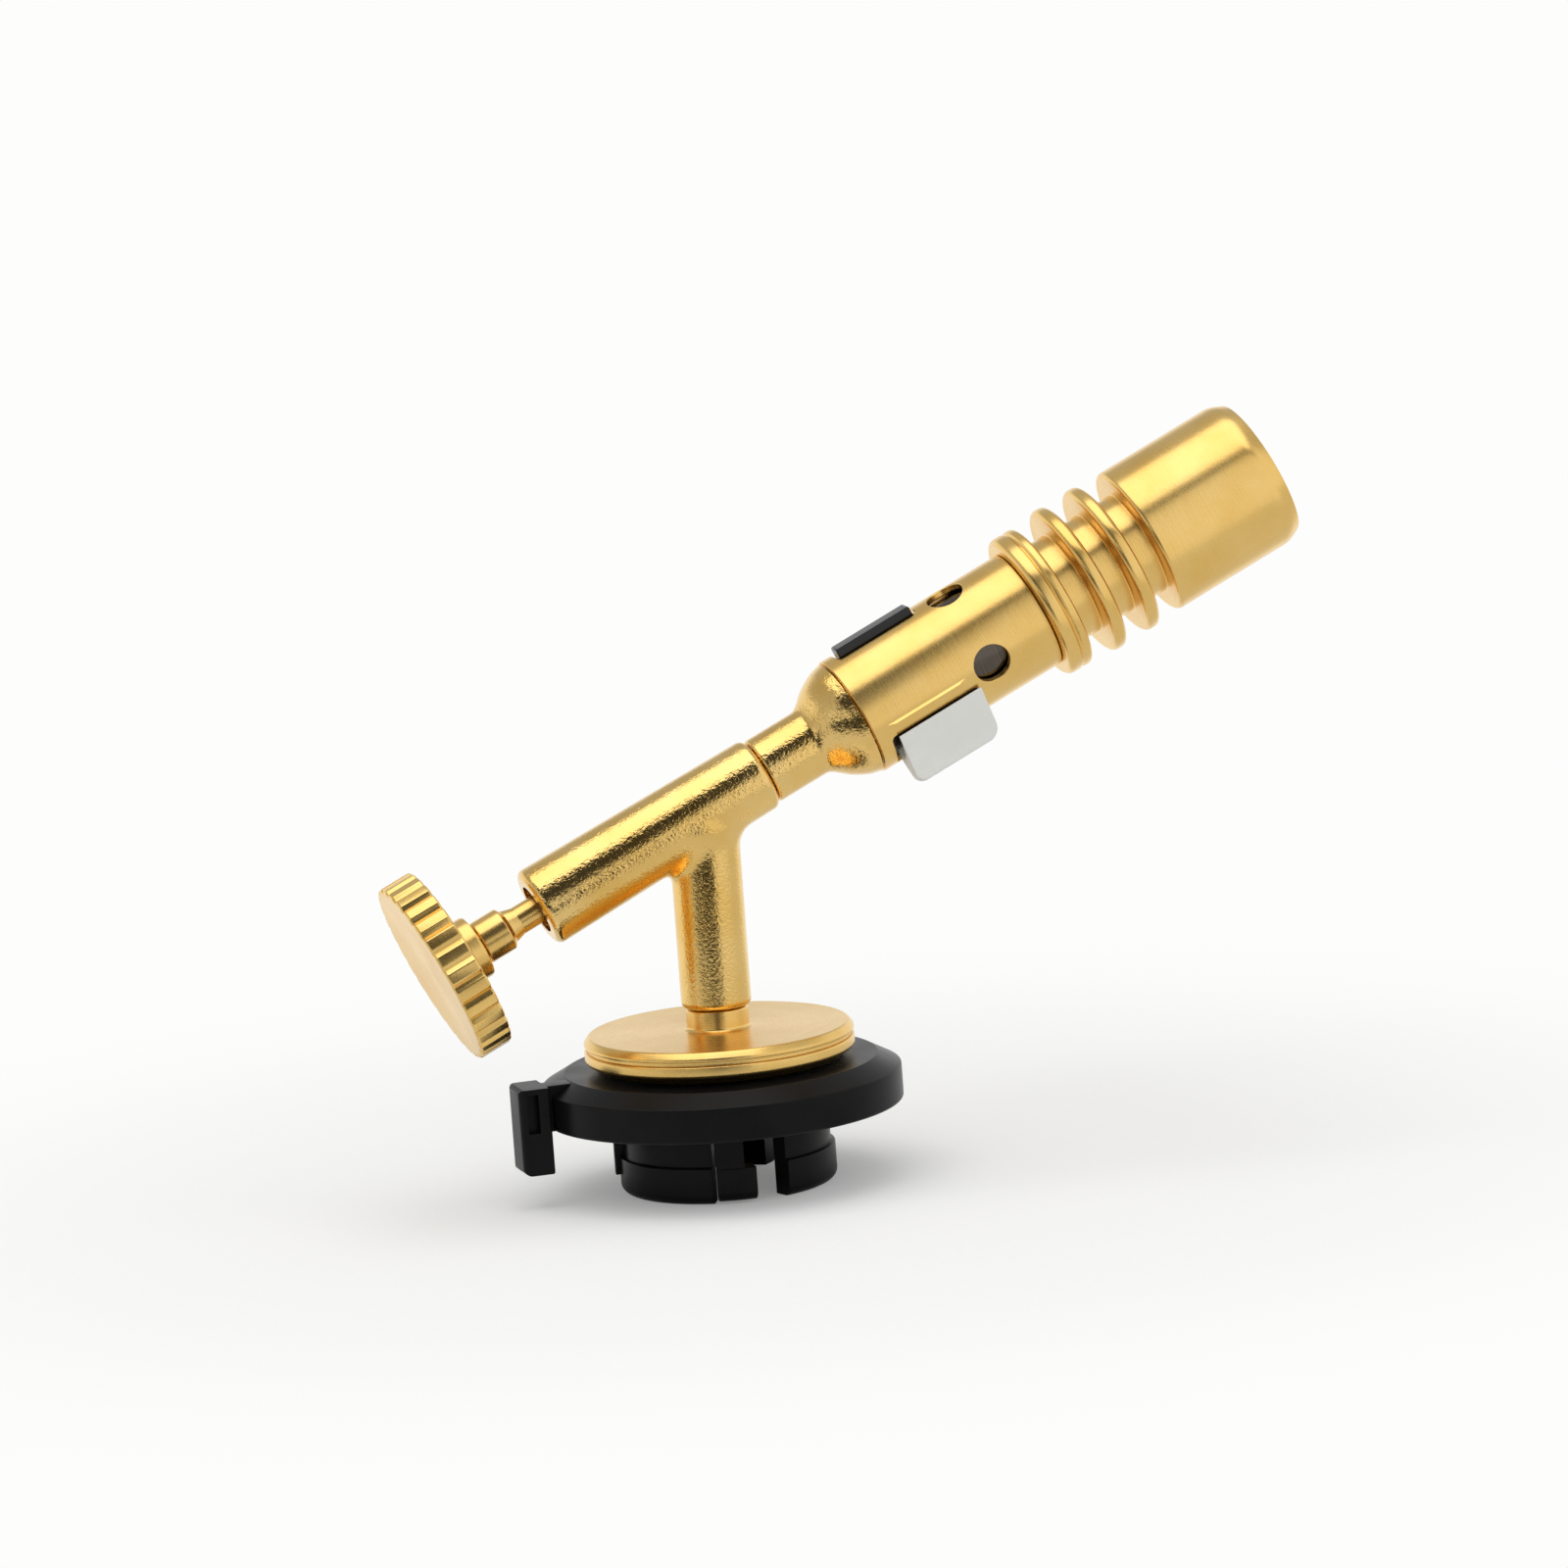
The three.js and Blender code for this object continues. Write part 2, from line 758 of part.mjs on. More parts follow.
// Stem as a loft that spreads into the valve barrel through a fillet
function stemLoft() {
  const tilt = THREE.MathUtils.degToRad(burnerTiltDeg);
  const barrelRadius = (valve.burnerEndRadius + valve.knobEndRadius) / 2;
  const sunkShare = 0.985;
  const widestShare = 0.96;
  const insideShare = 0.7;
  const blendShares = [0, 0.2, 0.4, 0.6, 0.8, 1];
  const surface = barrelRadius * sunkShare;
  const underside = (x, y) => {
    const below = -Math.sqrt(surface ** 2 - y ** 2);
    return axisHeight + (below + x * Math.sin(tilt)) / Math.cos(tilt);
  };
  const spread = stem.radius + stem.fillet;
  const spreadSide = Math.min(spread, surface * widestShare);
  const level = (make) =>
    around(fineSides, 0, (deg) => {
      const angle = THREE.MathUtils.degToRad(deg);
      return make(Math.cos(angle), Math.sin(angle));
    });
  const plain = (radius, height) => level((c, s) => new THREE.Vector3(radius * c, radius * s, height));
  const blend = (share) =>
    level((c, s) => {
      const x = stem.radius * c;
      const y = stem.radius * s;
      const meet = underside(x, y);
      const low = new THREE.Vector3(x, y, meet - stem.fillet);
      const corner = new THREE.Vector3(x, y, meet);
      const wide = new THREE.Vector3(spread * c, spreadSide * s, underside(spread * c, spreadSide * s));
      return new THREE.QuadraticBezierCurve3(low, corner, wide).getPoint(share);
    });
  return loft([
    plain(stem.radius - stem.chamfer, stemFoot),
    plain(stem.radius, stemFoot + stem.chamfer),
    ...blendShares.map(blend),
    plain(stem.radius * insideShare, axisHeight),
  ]);
}

function valveBody() {
  const shell = turned([
    [0, knobEnd],
    [valve.knobEndRadius, knobEnd, valve.round],
    [valve.burnerEndRadius, burnerEnd, valve.round],
    [0, burnerEnd],
  ]);
  const bores = turned(
    [
      [0, knobEnd - overrun],
      [valve.recessRadius, knobEnd - overrun],
      [valve.recessRadius, recessFloor],
      [valve.threadRadius, recessFloor],
      [valve.threadRadius, threadEnd],
      [valve.chamberRadius, threadEnd],
      [valve.chamberRadius, seatBack],
      [valve.seatRadius, seatBack],
      [valve.seatRadius, outletFloor],
      [valve.outletRadius, outletFloor],
      [valve.outletRadius, burnerEnd + overrun],
      [0, burnerEnd + overrun],
    ],
    coarseSides
  );
  const stemBore = rod(stem.boreRadius, stemFoot - overrun, stemBoreTop);
  const stemPassage = rod(stem.passage, stemBoreTop - overrun, axisHeight);
  const body = cut(
    join(onBurnerAxis(shell), stemLoft()),
    onBurnerAxis(bores),
    stemBore,
    stemPassage
  );
  return piece("valve_body", body, castBrass);
}

function glandNut() {
  const radius = valve.recessRadius - gap;
  const body = ring(gland.holeRadius, radius, glandBack, glandFront, coarseSides);
  const slotHalf = gland.slotWidth / 2;
  const slot = box(
    [-radius - overrun, -slotHalf, glandBack - overrun],
    [radius + overrun, slotHalf, glandBack + gland.slotDepth]
  );
  return piece("gland_nut", cut(body, slot), plainBrass);
}

function spindleSealRing() {
  const circle = spindle.rodRadius + gap + sealSection;
  return piece("spindle_seal", torus(circle, sealSection, sealMiddle), rubber);
}

function valveSpindle() {
  const spigotEnd = hubFront - spindle.spigotLength;
  const body = turned(
    [
      [0, spigotEnd],
      [spindle.spigotRadius, spigotEnd],
      [spindle.spigotRadius, shoulderBack],
      [spindle.shoulderRadius, shoulderBack, spindle.shoulderChamfer / 2],
      [spindle.shoulderRadius, shoulderFront - spindle.shoulderChamfer],
      [spindle.rodRadius, shoulderFront],
      [spindle.rodRadius, spindleThreadStart],
      [spindle.threadRadius, spindleThreadStart, spindle.shoulderChamfer],
      [spindle.threadRadius, spindleNose, spindle.shoulderChamfer],
      [spindle.socketRadius, spindleNose],
      [spindle.socketRadius, spindleNose - spindle.socketDepth],
      [0, spindleNose - spindle.socketDepth],
    ],
    coarseSides
  );
  return piece("valve_spindle", body, satinBrass);
}

function valveNeedle() {
  const back = spindleNose - spindle.socketDepth + gap;
  const tip = seatBack + needle.reach;
  const body = turned(
    [
      [0, back],
      [needle.shankRadius, back],
      [needle.shankRadius, tip - needle.taper],
      [needle.tipRadius, tip],
      [0, tip],
    ],
    coarseSides
  );
  return piece("valve_needle", body, steel);
}

// Knob with straight ridges on its rim, a plain outer face and a hub towards the valve
function controlKnob() {
  const flankShare = 0.2;
  const flankRadius = knob.radius - knob.ridgeDepth * flankShare;
  const ridgeShares = [0, 0.25, 0.5, 0.75];
  const ridgeRadii = [knob.radius - knob.ridgeDepth, flankRadius, knob.radius, flankRadius];
  const rim = (inset, height) =>
    around(knob.ridges, 0, (deg) =>
      ridgeShares.map((share, i) => {
        const angle = THREE.MathUtils.degToRad(deg + (360 * share) / knob.ridges);
        const radius = ridgeRadii[i] - inset;
        return new THREE.Vector3(radius * Math.cos(angle), radius * Math.sin(angle), height);
      })
    ).flat();
  const disk = loft([
    rim(knob.round, knobFace),
    rim(0, knobFace + knob.round),
    rim(0, knobBack - knob.round),
    rim(knob.round, knobBack),
  ]);
  const hub = turned([
    [0, knobBack - knob.thickness / 2],
    [knob.hubRadius, knobBack - knob.thickness / 2],
    [knob.hubRadius, hubFront, knob.round],
    [0, hubFront],
  ]);
  const boreFloor = hubFront - spindle.spigotLength - gap;
  const bore = rod(spindle.spigotRadius + gap, boreFloor, hubFront + overrun);
  return piece("control_knob", cut(join(disk, hub), bore), satinBrass);
}

function jetDome() {
  const spigotBack = outletFloor + gap + domeSeal.thickness + gap;
  const seatBore = jet.shankRadius + gap;
  const filterBack = jetShankBack - gap - jetFilter.length - gap;
  const flareShares = [[0.04, 0], [0.22, 0.15], [0.56, 0.39], [0.86, 0.71], [0.97, 0.93]];
  const flareRise = dome.rimRadius - dome.neckRadius;
  const flare = flareShares.map(([rise, along]) => [
    dome.neckRadius + flareRise * rise,
    flareStart + dome.flareLength * along,
  ]);
  const body = turned([
    [dome.passage, spigotBack],
    [valve.outletRadius - gap, spigotBack],
    [valve.outletRadius - gap, neckStart],
    [dome.neckRadius, neckStart],
    ...flare,
    [dome.rimRadius, seam],
    [spigotFit, seam],
    [spigotFit, domeFront],
    [spigotFit - dome.wall, domeFront],
    [jet.headRadius + gap * 2, cavityFloor],
    [seatBore, cavityFloor],
    [seatBore, filterBack],
    [dome.passage, filterBack],
  ]);
  return piece("jet_dome", body, castBrass);
}

function gasJet() {
  const headBack = cavityFloor + gap;
  const headFront = headBack + jet.headLength;
  const hex = new THREE.CylinderGeometry(jet.headRadius, jet.headRadius, jet.headLength, 6)
    .rotateX(Math.PI / 2)
    .translate(0, 0, (headBack + headFront) / 2);
  const nose = turned(
    [
      [0, headBack],
      [jet.headRadius, headBack],
      [jet.headRadius, headFront - jet.chamfer],
      [jet.headRadius - jet.chamfer * 2, headFront],
      [0, headFront],
    ],
    coarseSides
  );
  const shank = rod(jet.shankRadius, jetShankBack, headBack + jet.headLength / 2);
  const orifice = rod(jet.orifice, jetShankBack - overrun, headFront + overrun, coarseSides / 2);
  return piece("gas_jet", cut(join(common(hex, nose), shank), orifice), plainBrass);
}

function jetFilterPlug() {
  const front = jetShankBack - gap;
  return piece("jet_filter", rod(jet.shankRadius, front - jetFilter.length, front), sinteredBronze);
}

function domeSealRing() {
  const back = outletFloor + gap;
  return piece(
    "dome_seal",
    ring(domeSeal.innerRadius, valve.outletRadius - gap, back, back + domeSeal.thickness, coarseSides),
    rubber
  );
}

// Air holes, as radial rods that a tube is cut with
function airHoles(radius, firstDeg) {
  return around(barrel.holes, firstDeg, (deg) =>
    rod(radius, barrelBore / 2, barrel.radius + overrun)
      .rotateY(Math.PI / 2)
      .rotateZ(THREE.MathUtils.degToRad(deg))
      .translate(0, 0, airHoleStation)
  );
}

function mixerBarrel() {
  const tube = turned([
    [barrelBore, barrelStart],
    [barrel.radius, barrelStart, gap],
    [barrel.radius, barrelEnd],
    [barrelBore, barrelEnd],
  ]);
  const tabOpening = windowCutter(
    barrel.radius,
    barrel.wall + overrun,
    tabWindow.startDeg,
    tabWindowEndDeg,
    tabWindowStart,
    tabWindowEnd,
    tabWindow.corner
  );
  const gripOpening = windowCutter(
    barrel.radius,
    barrel.wall + overrun,
    gripWindowStartDeg,
    gripWindow.endDeg,
    gripWindowStart,
    gripWindowEnd,
    gripWindow.corner
  );
  const body = cut(tube, ...airHoles(barrel.holeRadius, barrel.holeFirstDeg), tabOpening, gripOpening);
  return piece("mixer_barrel", body, satinBrass);
}

// Where the tab and the grip stand along the burner axis, with their play in the windows
const tabSpan = [tabWindowStart + tab.endPlay, tabWindowEnd - tab.endPlay];
const gripSpan = [gripWindowStart + grip.endPlay, gripWindowEnd - grip.endPlay];

// Slot in the sleeve that a tab or grip stands in
function sleeveSlot(stand, [back, front]) {
  const half = stand.thickness / 2 + gap;
  const slot = box([0, -half, back - gap], [sleeveRadius + overrun, half, front + gap]);
  return slot.rotateZ(THREE.MathUtils.degToRad(stand.restDeg));
}

function airSleeve() {
  const tube = ring(sleeveBore, sleeveRadius, sleeveStart, sleeveEnd, mediumSides);
  const holes = airHoles(sleeve.holeRadius, barrel.holeFirstDeg + shutterTurnDeg);
  const slots = [sleeveSlot(tab, tabSpan), sleeveSlot(grip, gripSpan)];
  return piece("air_sleeve", cut(tube, ...holes, ...slots), steel);
}

// Foot inside the sleeve that keeps a tab or grip from pulling out
function standFoot(stand, [back, front]) {
  const half = stand.footWidth / 2;
  const top = Math.sqrt(sleeveBore ** 2 - half ** 2) - gap;
  return box([top - stand.footHeight, -half, back], [top, half, front]);
}

function airTab() {
  const [back, front] = tabSpan;
  const clearRadius = barrel.radius + gap;
  const root = sleeveBore - tab.footHeight;
  const blade = plate(
    [
      [root, back],
      [tab.reach, back, tab.corner],
      [tab.reach, front + tab.overhang, tab.corner],
      [clearRadius, front + tab.overhang, gap],
      [clearRadius, front],
      [root, front],
    ],
    tab.thickness
  );
  const mesh = piece("air_tab", join(blade, standFoot(tab, tabSpan)), greyPlastic);
  mesh.rotation.z = THREE.MathUtils.degToRad(tab.restDeg);
  return mesh;
}

function airGrip() {
  const [back, front] = gripSpan;
  const root = sleeveBore - grip.footHeight;
  const bar = plate(
    [
      [root, back],
      [grip.reach, back, grip.corner],
      [grip.reach, front, grip.corner],
      [root, front],
    ],
    grip.thickness
  );
  const mesh = piece("air_grip", join(bar, standFoot(grip, gripSpan)), blackPlastic);
  mesh.rotation.z = THREE.MathUtils.degToRad(grip.restDeg);
  return mesh;
}

// One turned piece: shoulder with a band groove, fins, thin-walled nozzle and a bore right through
function burnerHead() {
  const fins = Array.from({ length: head.fins }, (unused, i) => {
    const back = shoulderEnd + head.finGap + i * (head.finThickness + head.finGap);
    const front = back + head.finThickness;
    return [
      [head.coreRadius, back],
      [head.finRadius, back, head.finRound],
      [head.finRadius, front, head.finRound],
      [head.coreRadius, front],
    ];
  }).flat();
  const bandFront = shoulderEnd - head.bandFromFront;
  const bandBack = bandFront - head.bandWidth;
  const rear = barrelEnd - head.spigotLength;
  const body = turned([
    [head.entryRadius, rear],
    [spigotFit, rear],
    [spigotFit, shoulderStart],
    [head.shoulderRadius, shoulderStart, head.shoulderRound],
    [head.shoulderRadius, bandBack],
    [head.shoulderRadius - head.bandDepth, (bandBack + bandFront) / 2],
    [head.shoulderRadius, bandFront],
    [head.shoulderRadius, shoulderEnd, head.bandFromFront / 2],
    [head.coreRadius, shoulderEnd],
    ...fins,
    [head.coreRadius, nozzleStart],
    [head.nozzleRadius, nozzleStart, head.nozzleBackRound],
    [head.nozzleRadius, mouth - head.lipLength, head.lipRound],
    [head.nozzleRadius - head.lipInset, mouth],
    [nozzleBore, mouth],
    [nozzleBore, holderBack - gap],
    [nozzleBore - head.seatWidth, holderBack - gap],
    [nozzleBore - head.seatWidth, nozzleStart + head.floorThickness],
    [head.throatRadius, nozzleStart + head.floorThickness],
    [head.throatRadius, shoulderEnd],
  ]);
  return piece("burner_head", body, satinBrass);
}

// Disc with two rings of holes that the flame sits on
function flameHolder() {
  const body = rod(nozzleBore - gap, holderBack, holderFront, fineSides);
  const holeRing = (count, circle) =>
    around(count, 0, (deg) =>
      rod(holder.holeRadius, holderBack - overrun, holderFront + overrun, coarseSides / 2)
        .translate(circle, 0, 0)
        .rotateZ(THREE.MathUtils.degToRad(deg))
    );
  const outerHoles = holeRing(holder.holes, holder.holeCircle);
  const innerHoles = holeRing(holder.innerHoles, holder.innerHoleCircle);
  return piece("flame_holder", cut(body, ...outerHoles, ...innerHoles), steel);
}

const torch = new THREE.Group();
torch.add(
  bayonetBase(),
  ...baseScrews(),
  mountingDisc(),
  inletFitting(),
  inletSealRing(),
  inletFilterDisc(),
  stemWasherRing(),
  valveBody(),
  burner
);
burner.add(
  glandNut(),
  spindleSealRing(),
  valveSpindle(),
  valveNeedle(),
  controlKnob(),
  jetDome(),
  gasJet(),
  jetFilterPlug(),
  domeSealRing(),
  mixerBarrel(),
  airSleeve(),
  airTab(),
  airGrip(),
  burnerHead(),
  flameHolder()
);

export default torch;
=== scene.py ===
# Looks of the brass gas torch head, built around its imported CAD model. Blender works in metres,
# and the pieces here are modelled in millimetres in the row frame or in the burner's own frame.
import json
from functools import partial
from math import acos, asin, atan2, ceil, cos, pi, radians, sin, sqrt, tan
from types import SimpleNamespace as Sizes

import bmesh
import bpy
import numpy as np
from mathutils import Matrix, Vector
from mathutils.geometry import delaunay_2d_cdt


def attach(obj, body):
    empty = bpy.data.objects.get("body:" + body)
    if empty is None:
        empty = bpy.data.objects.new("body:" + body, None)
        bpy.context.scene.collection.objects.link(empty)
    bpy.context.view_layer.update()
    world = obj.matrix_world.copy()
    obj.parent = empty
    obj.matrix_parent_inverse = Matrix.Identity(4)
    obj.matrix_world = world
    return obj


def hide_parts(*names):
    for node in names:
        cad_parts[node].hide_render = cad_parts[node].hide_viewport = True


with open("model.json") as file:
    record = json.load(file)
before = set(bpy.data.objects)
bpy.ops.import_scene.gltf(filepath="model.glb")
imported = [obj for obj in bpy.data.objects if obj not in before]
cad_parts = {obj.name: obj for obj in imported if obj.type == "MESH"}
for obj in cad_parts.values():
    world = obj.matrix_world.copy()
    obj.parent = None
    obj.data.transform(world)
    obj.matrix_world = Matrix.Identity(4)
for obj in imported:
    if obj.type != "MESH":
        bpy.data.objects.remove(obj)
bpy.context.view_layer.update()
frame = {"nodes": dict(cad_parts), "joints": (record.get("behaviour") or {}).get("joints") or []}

MM = 0.001
FULL_TURN = 360

# Burner frame: its Z runs to the flame, its X points down, its -Y is the side that the camera sees
joints = {joint["name"]: joint for joint in frame["joints"]}
flame_direction = -Vector(joints["air_turn"]["axis"]).normalized()
burner_point = Vector(joints["air_turn"]["pos_m"])
axis_height = burner_point.z - burner_point.x * flame_direction.z / flame_direction.x
burner_tilt = asin(flame_direction.z)
row = Matrix.Identity(4)
burner = Matrix.Translation((0, 0, axis_height)) @ Matrix.Rotation(pi / 2 - burner_tilt, 4, "Y")


def mesh_points(mesh):
    """Points of a mesh in its own frame, in millimetres."""
    values = np.empty(len(mesh.vertices) * 3)
    mesh.vertices.foreach_get("co", values)
    return values.reshape(-1, 3) / MM


def seen_from(place, points):
    """Row points in millimetres, in the axes of another frame."""
    inverse = np.array(place.inverted())
    return points @ inverse[:3, :3].T + inverse[:3, 3] / MM


def reach(node, place):
    """Lowest and highest height of a CAD node along a frame's Z, and its largest radius, in millimetres."""
    x, y, z = seen_from(place, mesh_points(frame["nodes"][node].data)).T
    return z.min(), z.max(), np.hypot(x, y).max()


# Sizes in millimetres: the heights and stations come from the frame, the rest are the pieces' own
gap = 0.3
seen_gap = 0.08
overrun = 2

# Fillet radii that recur on the pieces' edges
crisp, keen, soft, eased, full = 0.1, 0.2, 0.3, 0.4, 0.5

_, base_top, _ = reach("bayonet_base", row)
disc_foot, spigot_top, disc_radius = reach("mounting_disc", row)
inlet_foot, inlet_top, boss_radius = reach("inlet_fitting", row)
knob_face, hub_front, knob_radius = reach("control_knob", burner)
spindle_back, spindle_nose, shoulder_radius = reach("valve_spindle", burner)
knob_end, burner_end, _ = reach("valve_body", burner)
dome_back, dome_front, dome_radius = reach("jet_dome", burner)
barrel_back, barrel_front, barrel_radius = reach("mixer_barrel", burner)
sleeve_back, sleeve_front, sleeve_radius = reach("air_sleeve", burner)
head_back, mouth, fin_radius = reach("burner_head", burner)
holder_back, holder_front, holder_radius = reach("flame_holder", burner)

base = Sizes(
    radius=22.5, floor=9.6, rim_height=4.3, chamfer_width=2.9, wall=2.2, ribs=12, rib_thickness=1.2,
)
collar = Sizes(
    radius=13, wall=2.6, lug_reach=0.55, lug_height=4.7, lug_round=0.25, foot_round=1.2, repeats=3,
    lug_start=-72, lug_span=78, notch=19, slot=2.4, latch_reach=1.2, latch_thickness=2.8, latch_lift=0.4,
    latch_narrow=6, stop_start=150, stop_span=22, stop_height=2.4, inset=0.05, edge_round=0.12,
)
finger = Sizes(
    thickness=3.9, width=6, length=10.9, stand_off=0.5, round=1.2, side_rounds=(0.9, 0.3, 0.2, 0.7),
    edge_round=0.15, web_width=3, web_drop=0.1, recess_width=1.5, recess_length=4.9, recess_depth=1.2,
    recess_rise=0.9, recess_shift=0.3,
)
screw = Sizes(
    count=3, first=30, wall_clearance=0.15, radius=0.8, head_radius=1.35, head_height=1,
    head_round=0.45, rim_round=0.05, slot_width=0.45, slot_depth=0.4,
)
disc = Sizes(
    thickness=4.1, bevel_height=1, bevel_width=1.6, groove_rise=1.2, groove_height=0.55,
    groove_depth=0.5, groove_round=0.15, round=0.6, chamfer_width=0.6, chamfer_height=0.8,
    neck_radius=3.9, neck_length=2.6, spigot_radius=2.7, bore=1.25,
)
inlet = Sizes(
    flange_thickness=1.2, flange_reach=1.6, thread_radius=3, length=6.9, pocket_radius=3.3,
    pocket_depth=2.4, lip_height=0.5, lip_reach=0.5, stem_hole=1.5, seal_round=0.25,
)
valve = Sizes(
    knob_end_radius=5.2, burner_end_radius=4.75, round=1, recess_radius=3.2, recess_depth=5.1,
    thread_radius=2.6, thread_length=10.2, needle_room=2, passage_length=2.2, passage_radius=0.8,
    outlet_radius=3.3, outlet_depth=3.6, stem_radius=4.4, stem_round=0.9, stem_bore=3, stem_sink=1.8,
    washer=0.8, blend=1.8, margin=1.5, cell=0.32,
)
knob = Sizes(
    thickness=4.4, ridges=30, ridge_depth=0.4, groove_share=0.23, groove_power=0.8, rim_width=1.6,
    groove_fade=1, round=0.35, hub_radius=4.1, hub_inset=0.45, hub_foot=(0.4, 0.12),
    hub_chamfer=(0.45, 0.13), dish=0.25, dish_inset=1.1, dish_slope=3, dish_share=0.85, dish_edge=0.02,
)
spindle = Sizes(
    rod_radius=1.8, spigot_radius=1.7, spigot_length=5.4, shoulder_length=3.95, shoulder_growth=0.15,
    shoulder_round=0.25, chamfer=0.4, cone_length=1.5, thread_start=8, thread_radius=2.3,
    needle_bore=1.2, needle_depth=2.6,
)
dome = Sizes(
    neck_radius=4.35, neck_round=0.35, flare_length=5.6, spigot_radius=3, wall=1, bore=1.25,
    cavity_depth=4.6, cavity_radius=3.5, seat_radius=2.1, seat_depth=4,
    flare=[[0, -0.12], [0.04, 0], [0.22, 0.15], [0.56, 0.39], [0.86, 0.71], [0.97, 0.93], [1, 1]],
)
barrel = Sizes(wall=0.8, hole_radius=2.45, holes=4, hole_first=-79, hole_from_end=8.8, round=0.14)
lip = Sizes(start=-80.9, crest=-79.4, rise=0.3, edge_rise=0.1, low=0.2, high=1.1, fade=1)
tab_window = Sizes(from_seam=2.1, from_end=11.7, start=-66.5, end=-12.2, corner=0.7)
grip_window = Sizes(from_seam=1.9, from_end=13, start=130.9, end=194, corner=0.8)
shutter_turn = 36
sleeve = Sizes(wall=0.5, hole_radius=1.8, round=0.08, foot_depth=0.9)
tab = Sizes(
    rest=-22, end_play=0.8, overhang=1, thickness=1.6, reach=11.6, corner=1.3, edge_round=0.16,
    foot_width=3.6, face_top=-67, face_clearance=0.42, face_edge=0.3, face_steps=12,
)
grip = Sizes(
    rest=180, end_play=0.4, thickness=2.5, reach=8.75, corner=0.3, edge_round=0.16, foot_width=4.2,
)
head = Sizes(
    shoulder_radius=9.7, shoulder_thickness=3.2, shoulder_round=0.8, band_depth=0.35, band_round=0.15,
    band_width=0.7, band_from_front=1, fins=2, fin_thickness=1.85, fin_round=0.7, core_radius=6.9,
    nozzle_radius=9.85, nozzle_length=18.3, nozzle_wall=1, nozzle_back_round=0.6, lip_length=1.7,
    lip_inset=0.8, lip_round=3.5, mouth_round=0.08, floor=1, throat_radius=5.7, seat_width=0.8, fillet=0.25,
)
holder = Sizes(hole_radius=0.8, rings=((12, 6.4), (6, 3.4)))

rim_top = base.floor + base.rim_height
ceiling = base_top - base.wall
disc_bottom = base_top + gap
disc_top = disc_bottom + disc.thickness
neck_top = disc_top + disc.neck_length
stem_foot = neck_top + seen_gap
socket_radius = collar.radius - collar.wall
screw_circle = socket_radius - screw.wall_clearance - screw.head_radius
seam = barrel_back - gap
air_hole_station = barrel_front - barrel.hole_from_end
spigot_fit = barrel_radius - barrel.wall - gap
stand_root = sleeve_radius - sleeve.wall - sleeve.foot_depth
shoulder_end = barrel_front + gap + head.shoulder_thickness
nozzle_start = mouth - head.nozzle_length
fin_gap = (nozzle_start - shoulder_end - head.fins * head.fin_thickness) / (head.fins + 1)
nozzle_bore = head.nozzle_radius - head.nozzle_wall
for stand, window in ((tab, tab_window), (grip, grip_window)):
    window.low, window.high = seam + window.from_seam, barrel_front - window.from_end
    stand.low, stand.high = window.low + stand.end_play, window.high - stand.end_play


# Outlines and solids


def rectangle(left, right, low, high, rounds=0):
    """Rectangle's corners, anticlockwise from the low left one, with one fillet radius or one for each."""
    rounds = rounds if isinstance(rounds, tuple) else (rounds,) * 4
    sides = ((left, low), (right, low), (right, high), (left, high))
    return [(*side, radius) for side, radius in zip(sides, rounds)]


def filleted(corners, steps=6):
    """Corners [x, y] or [x, y, fillet radius] of a closed outline, with the fillets as arcs."""
    points = []
    for i, corner in enumerate(corners):
        here = Vector(corner[:2])
        radius = corner[2] if len(corner) > 2 else 0
        if not radius:
            points.append(here)
            continue
        back = Vector(corners[i - 1][:2]) - here
        ahead = Vector(corners[(i + 1) % len(corners)][:2]) - here
        room = min(back.length, ahead.length) / 2
        back.normalize()
        ahead.normalize()
        half = acos(max(-1, min(1, back.dot(ahead)))) / 2
        length = min(radius / tan(half), room)
        centre = here + (back + ahead).normalized() * (length / cos(half))
        first = here + back * length - centre
        last = here + ahead * length - centre
        sweep = atan2(first.x * last.y - first.y * last.x, first.dot(last))
        points += [centre + Matrix.Rotation(sweep * step / steps, 2) @ first for step in range(steps + 1)]
    return points


def curve_through(points, steps):
    """Smooth Catmull-Rom curve through points [x, y], as many steps between each two."""
    ends = np.array([points[0], *points, points[-1]])
    curve = []
    for before, start, end, after in zip(ends, ends[1:], ends[2:], ends[3:]):
        for t in np.arange(steps) / steps:
            square = 2 * before - 5 * start + 4 * end - after
            cube = 3 * start - before - 3 * end + after
            curve.append((2 * start + (end - before) * t + square * t**2 + cube * t**3) / 2)
    return [*curve, points[-1]]


def in_scene(name, data, place):
    obj = bpy.data.objects.new(name, data)
    bpy.context.scene.collection.objects.link(obj)
    obj.matrix_world = place
    return obj


def new_object(name, vertices, faces, place):
    """Mesh object whose own axes are those of a frame, from vertices in millimetres."""
    mesh = bpy.data.meshes.new(name)
    mesh.from_pydata([Vector(vertex) * MM for vertex in vertices], [], faces)
    return in_scene(name, mesh, place)


def cleaned(obj):
    """Merges doubled vertices, drops edges without faces and turns every face outwards."""
    bm = bmesh.new()
    bm.from_mesh(obj.data)
    bmesh.ops.remove_doubles(bm, verts=bm.verts, dist=MM / 5000)
    bmesh.ops.dissolve_degenerate(bm, edges=bm.edges, dist=MM / 5000)
    bmesh.ops.delete(bm, geom=[edge for edge in bm.edges if edge.is_wire], context="EDGES")
    bmesh.ops.recalc_face_normals(bm, faces=bm.faces)
    bm.to_mesh(obj.data)
    bm.free()
    return obj


def apply_modifiers(obj):
    bpy.context.view_layer.update()
    graph = bpy.context.evaluated_depsgraph_get()
    mesh = bpy.data.meshes.new_from_object(obj.evaluated_get(graph))
    obj.modifiers.clear()
    obj.data = mesh
    return obj


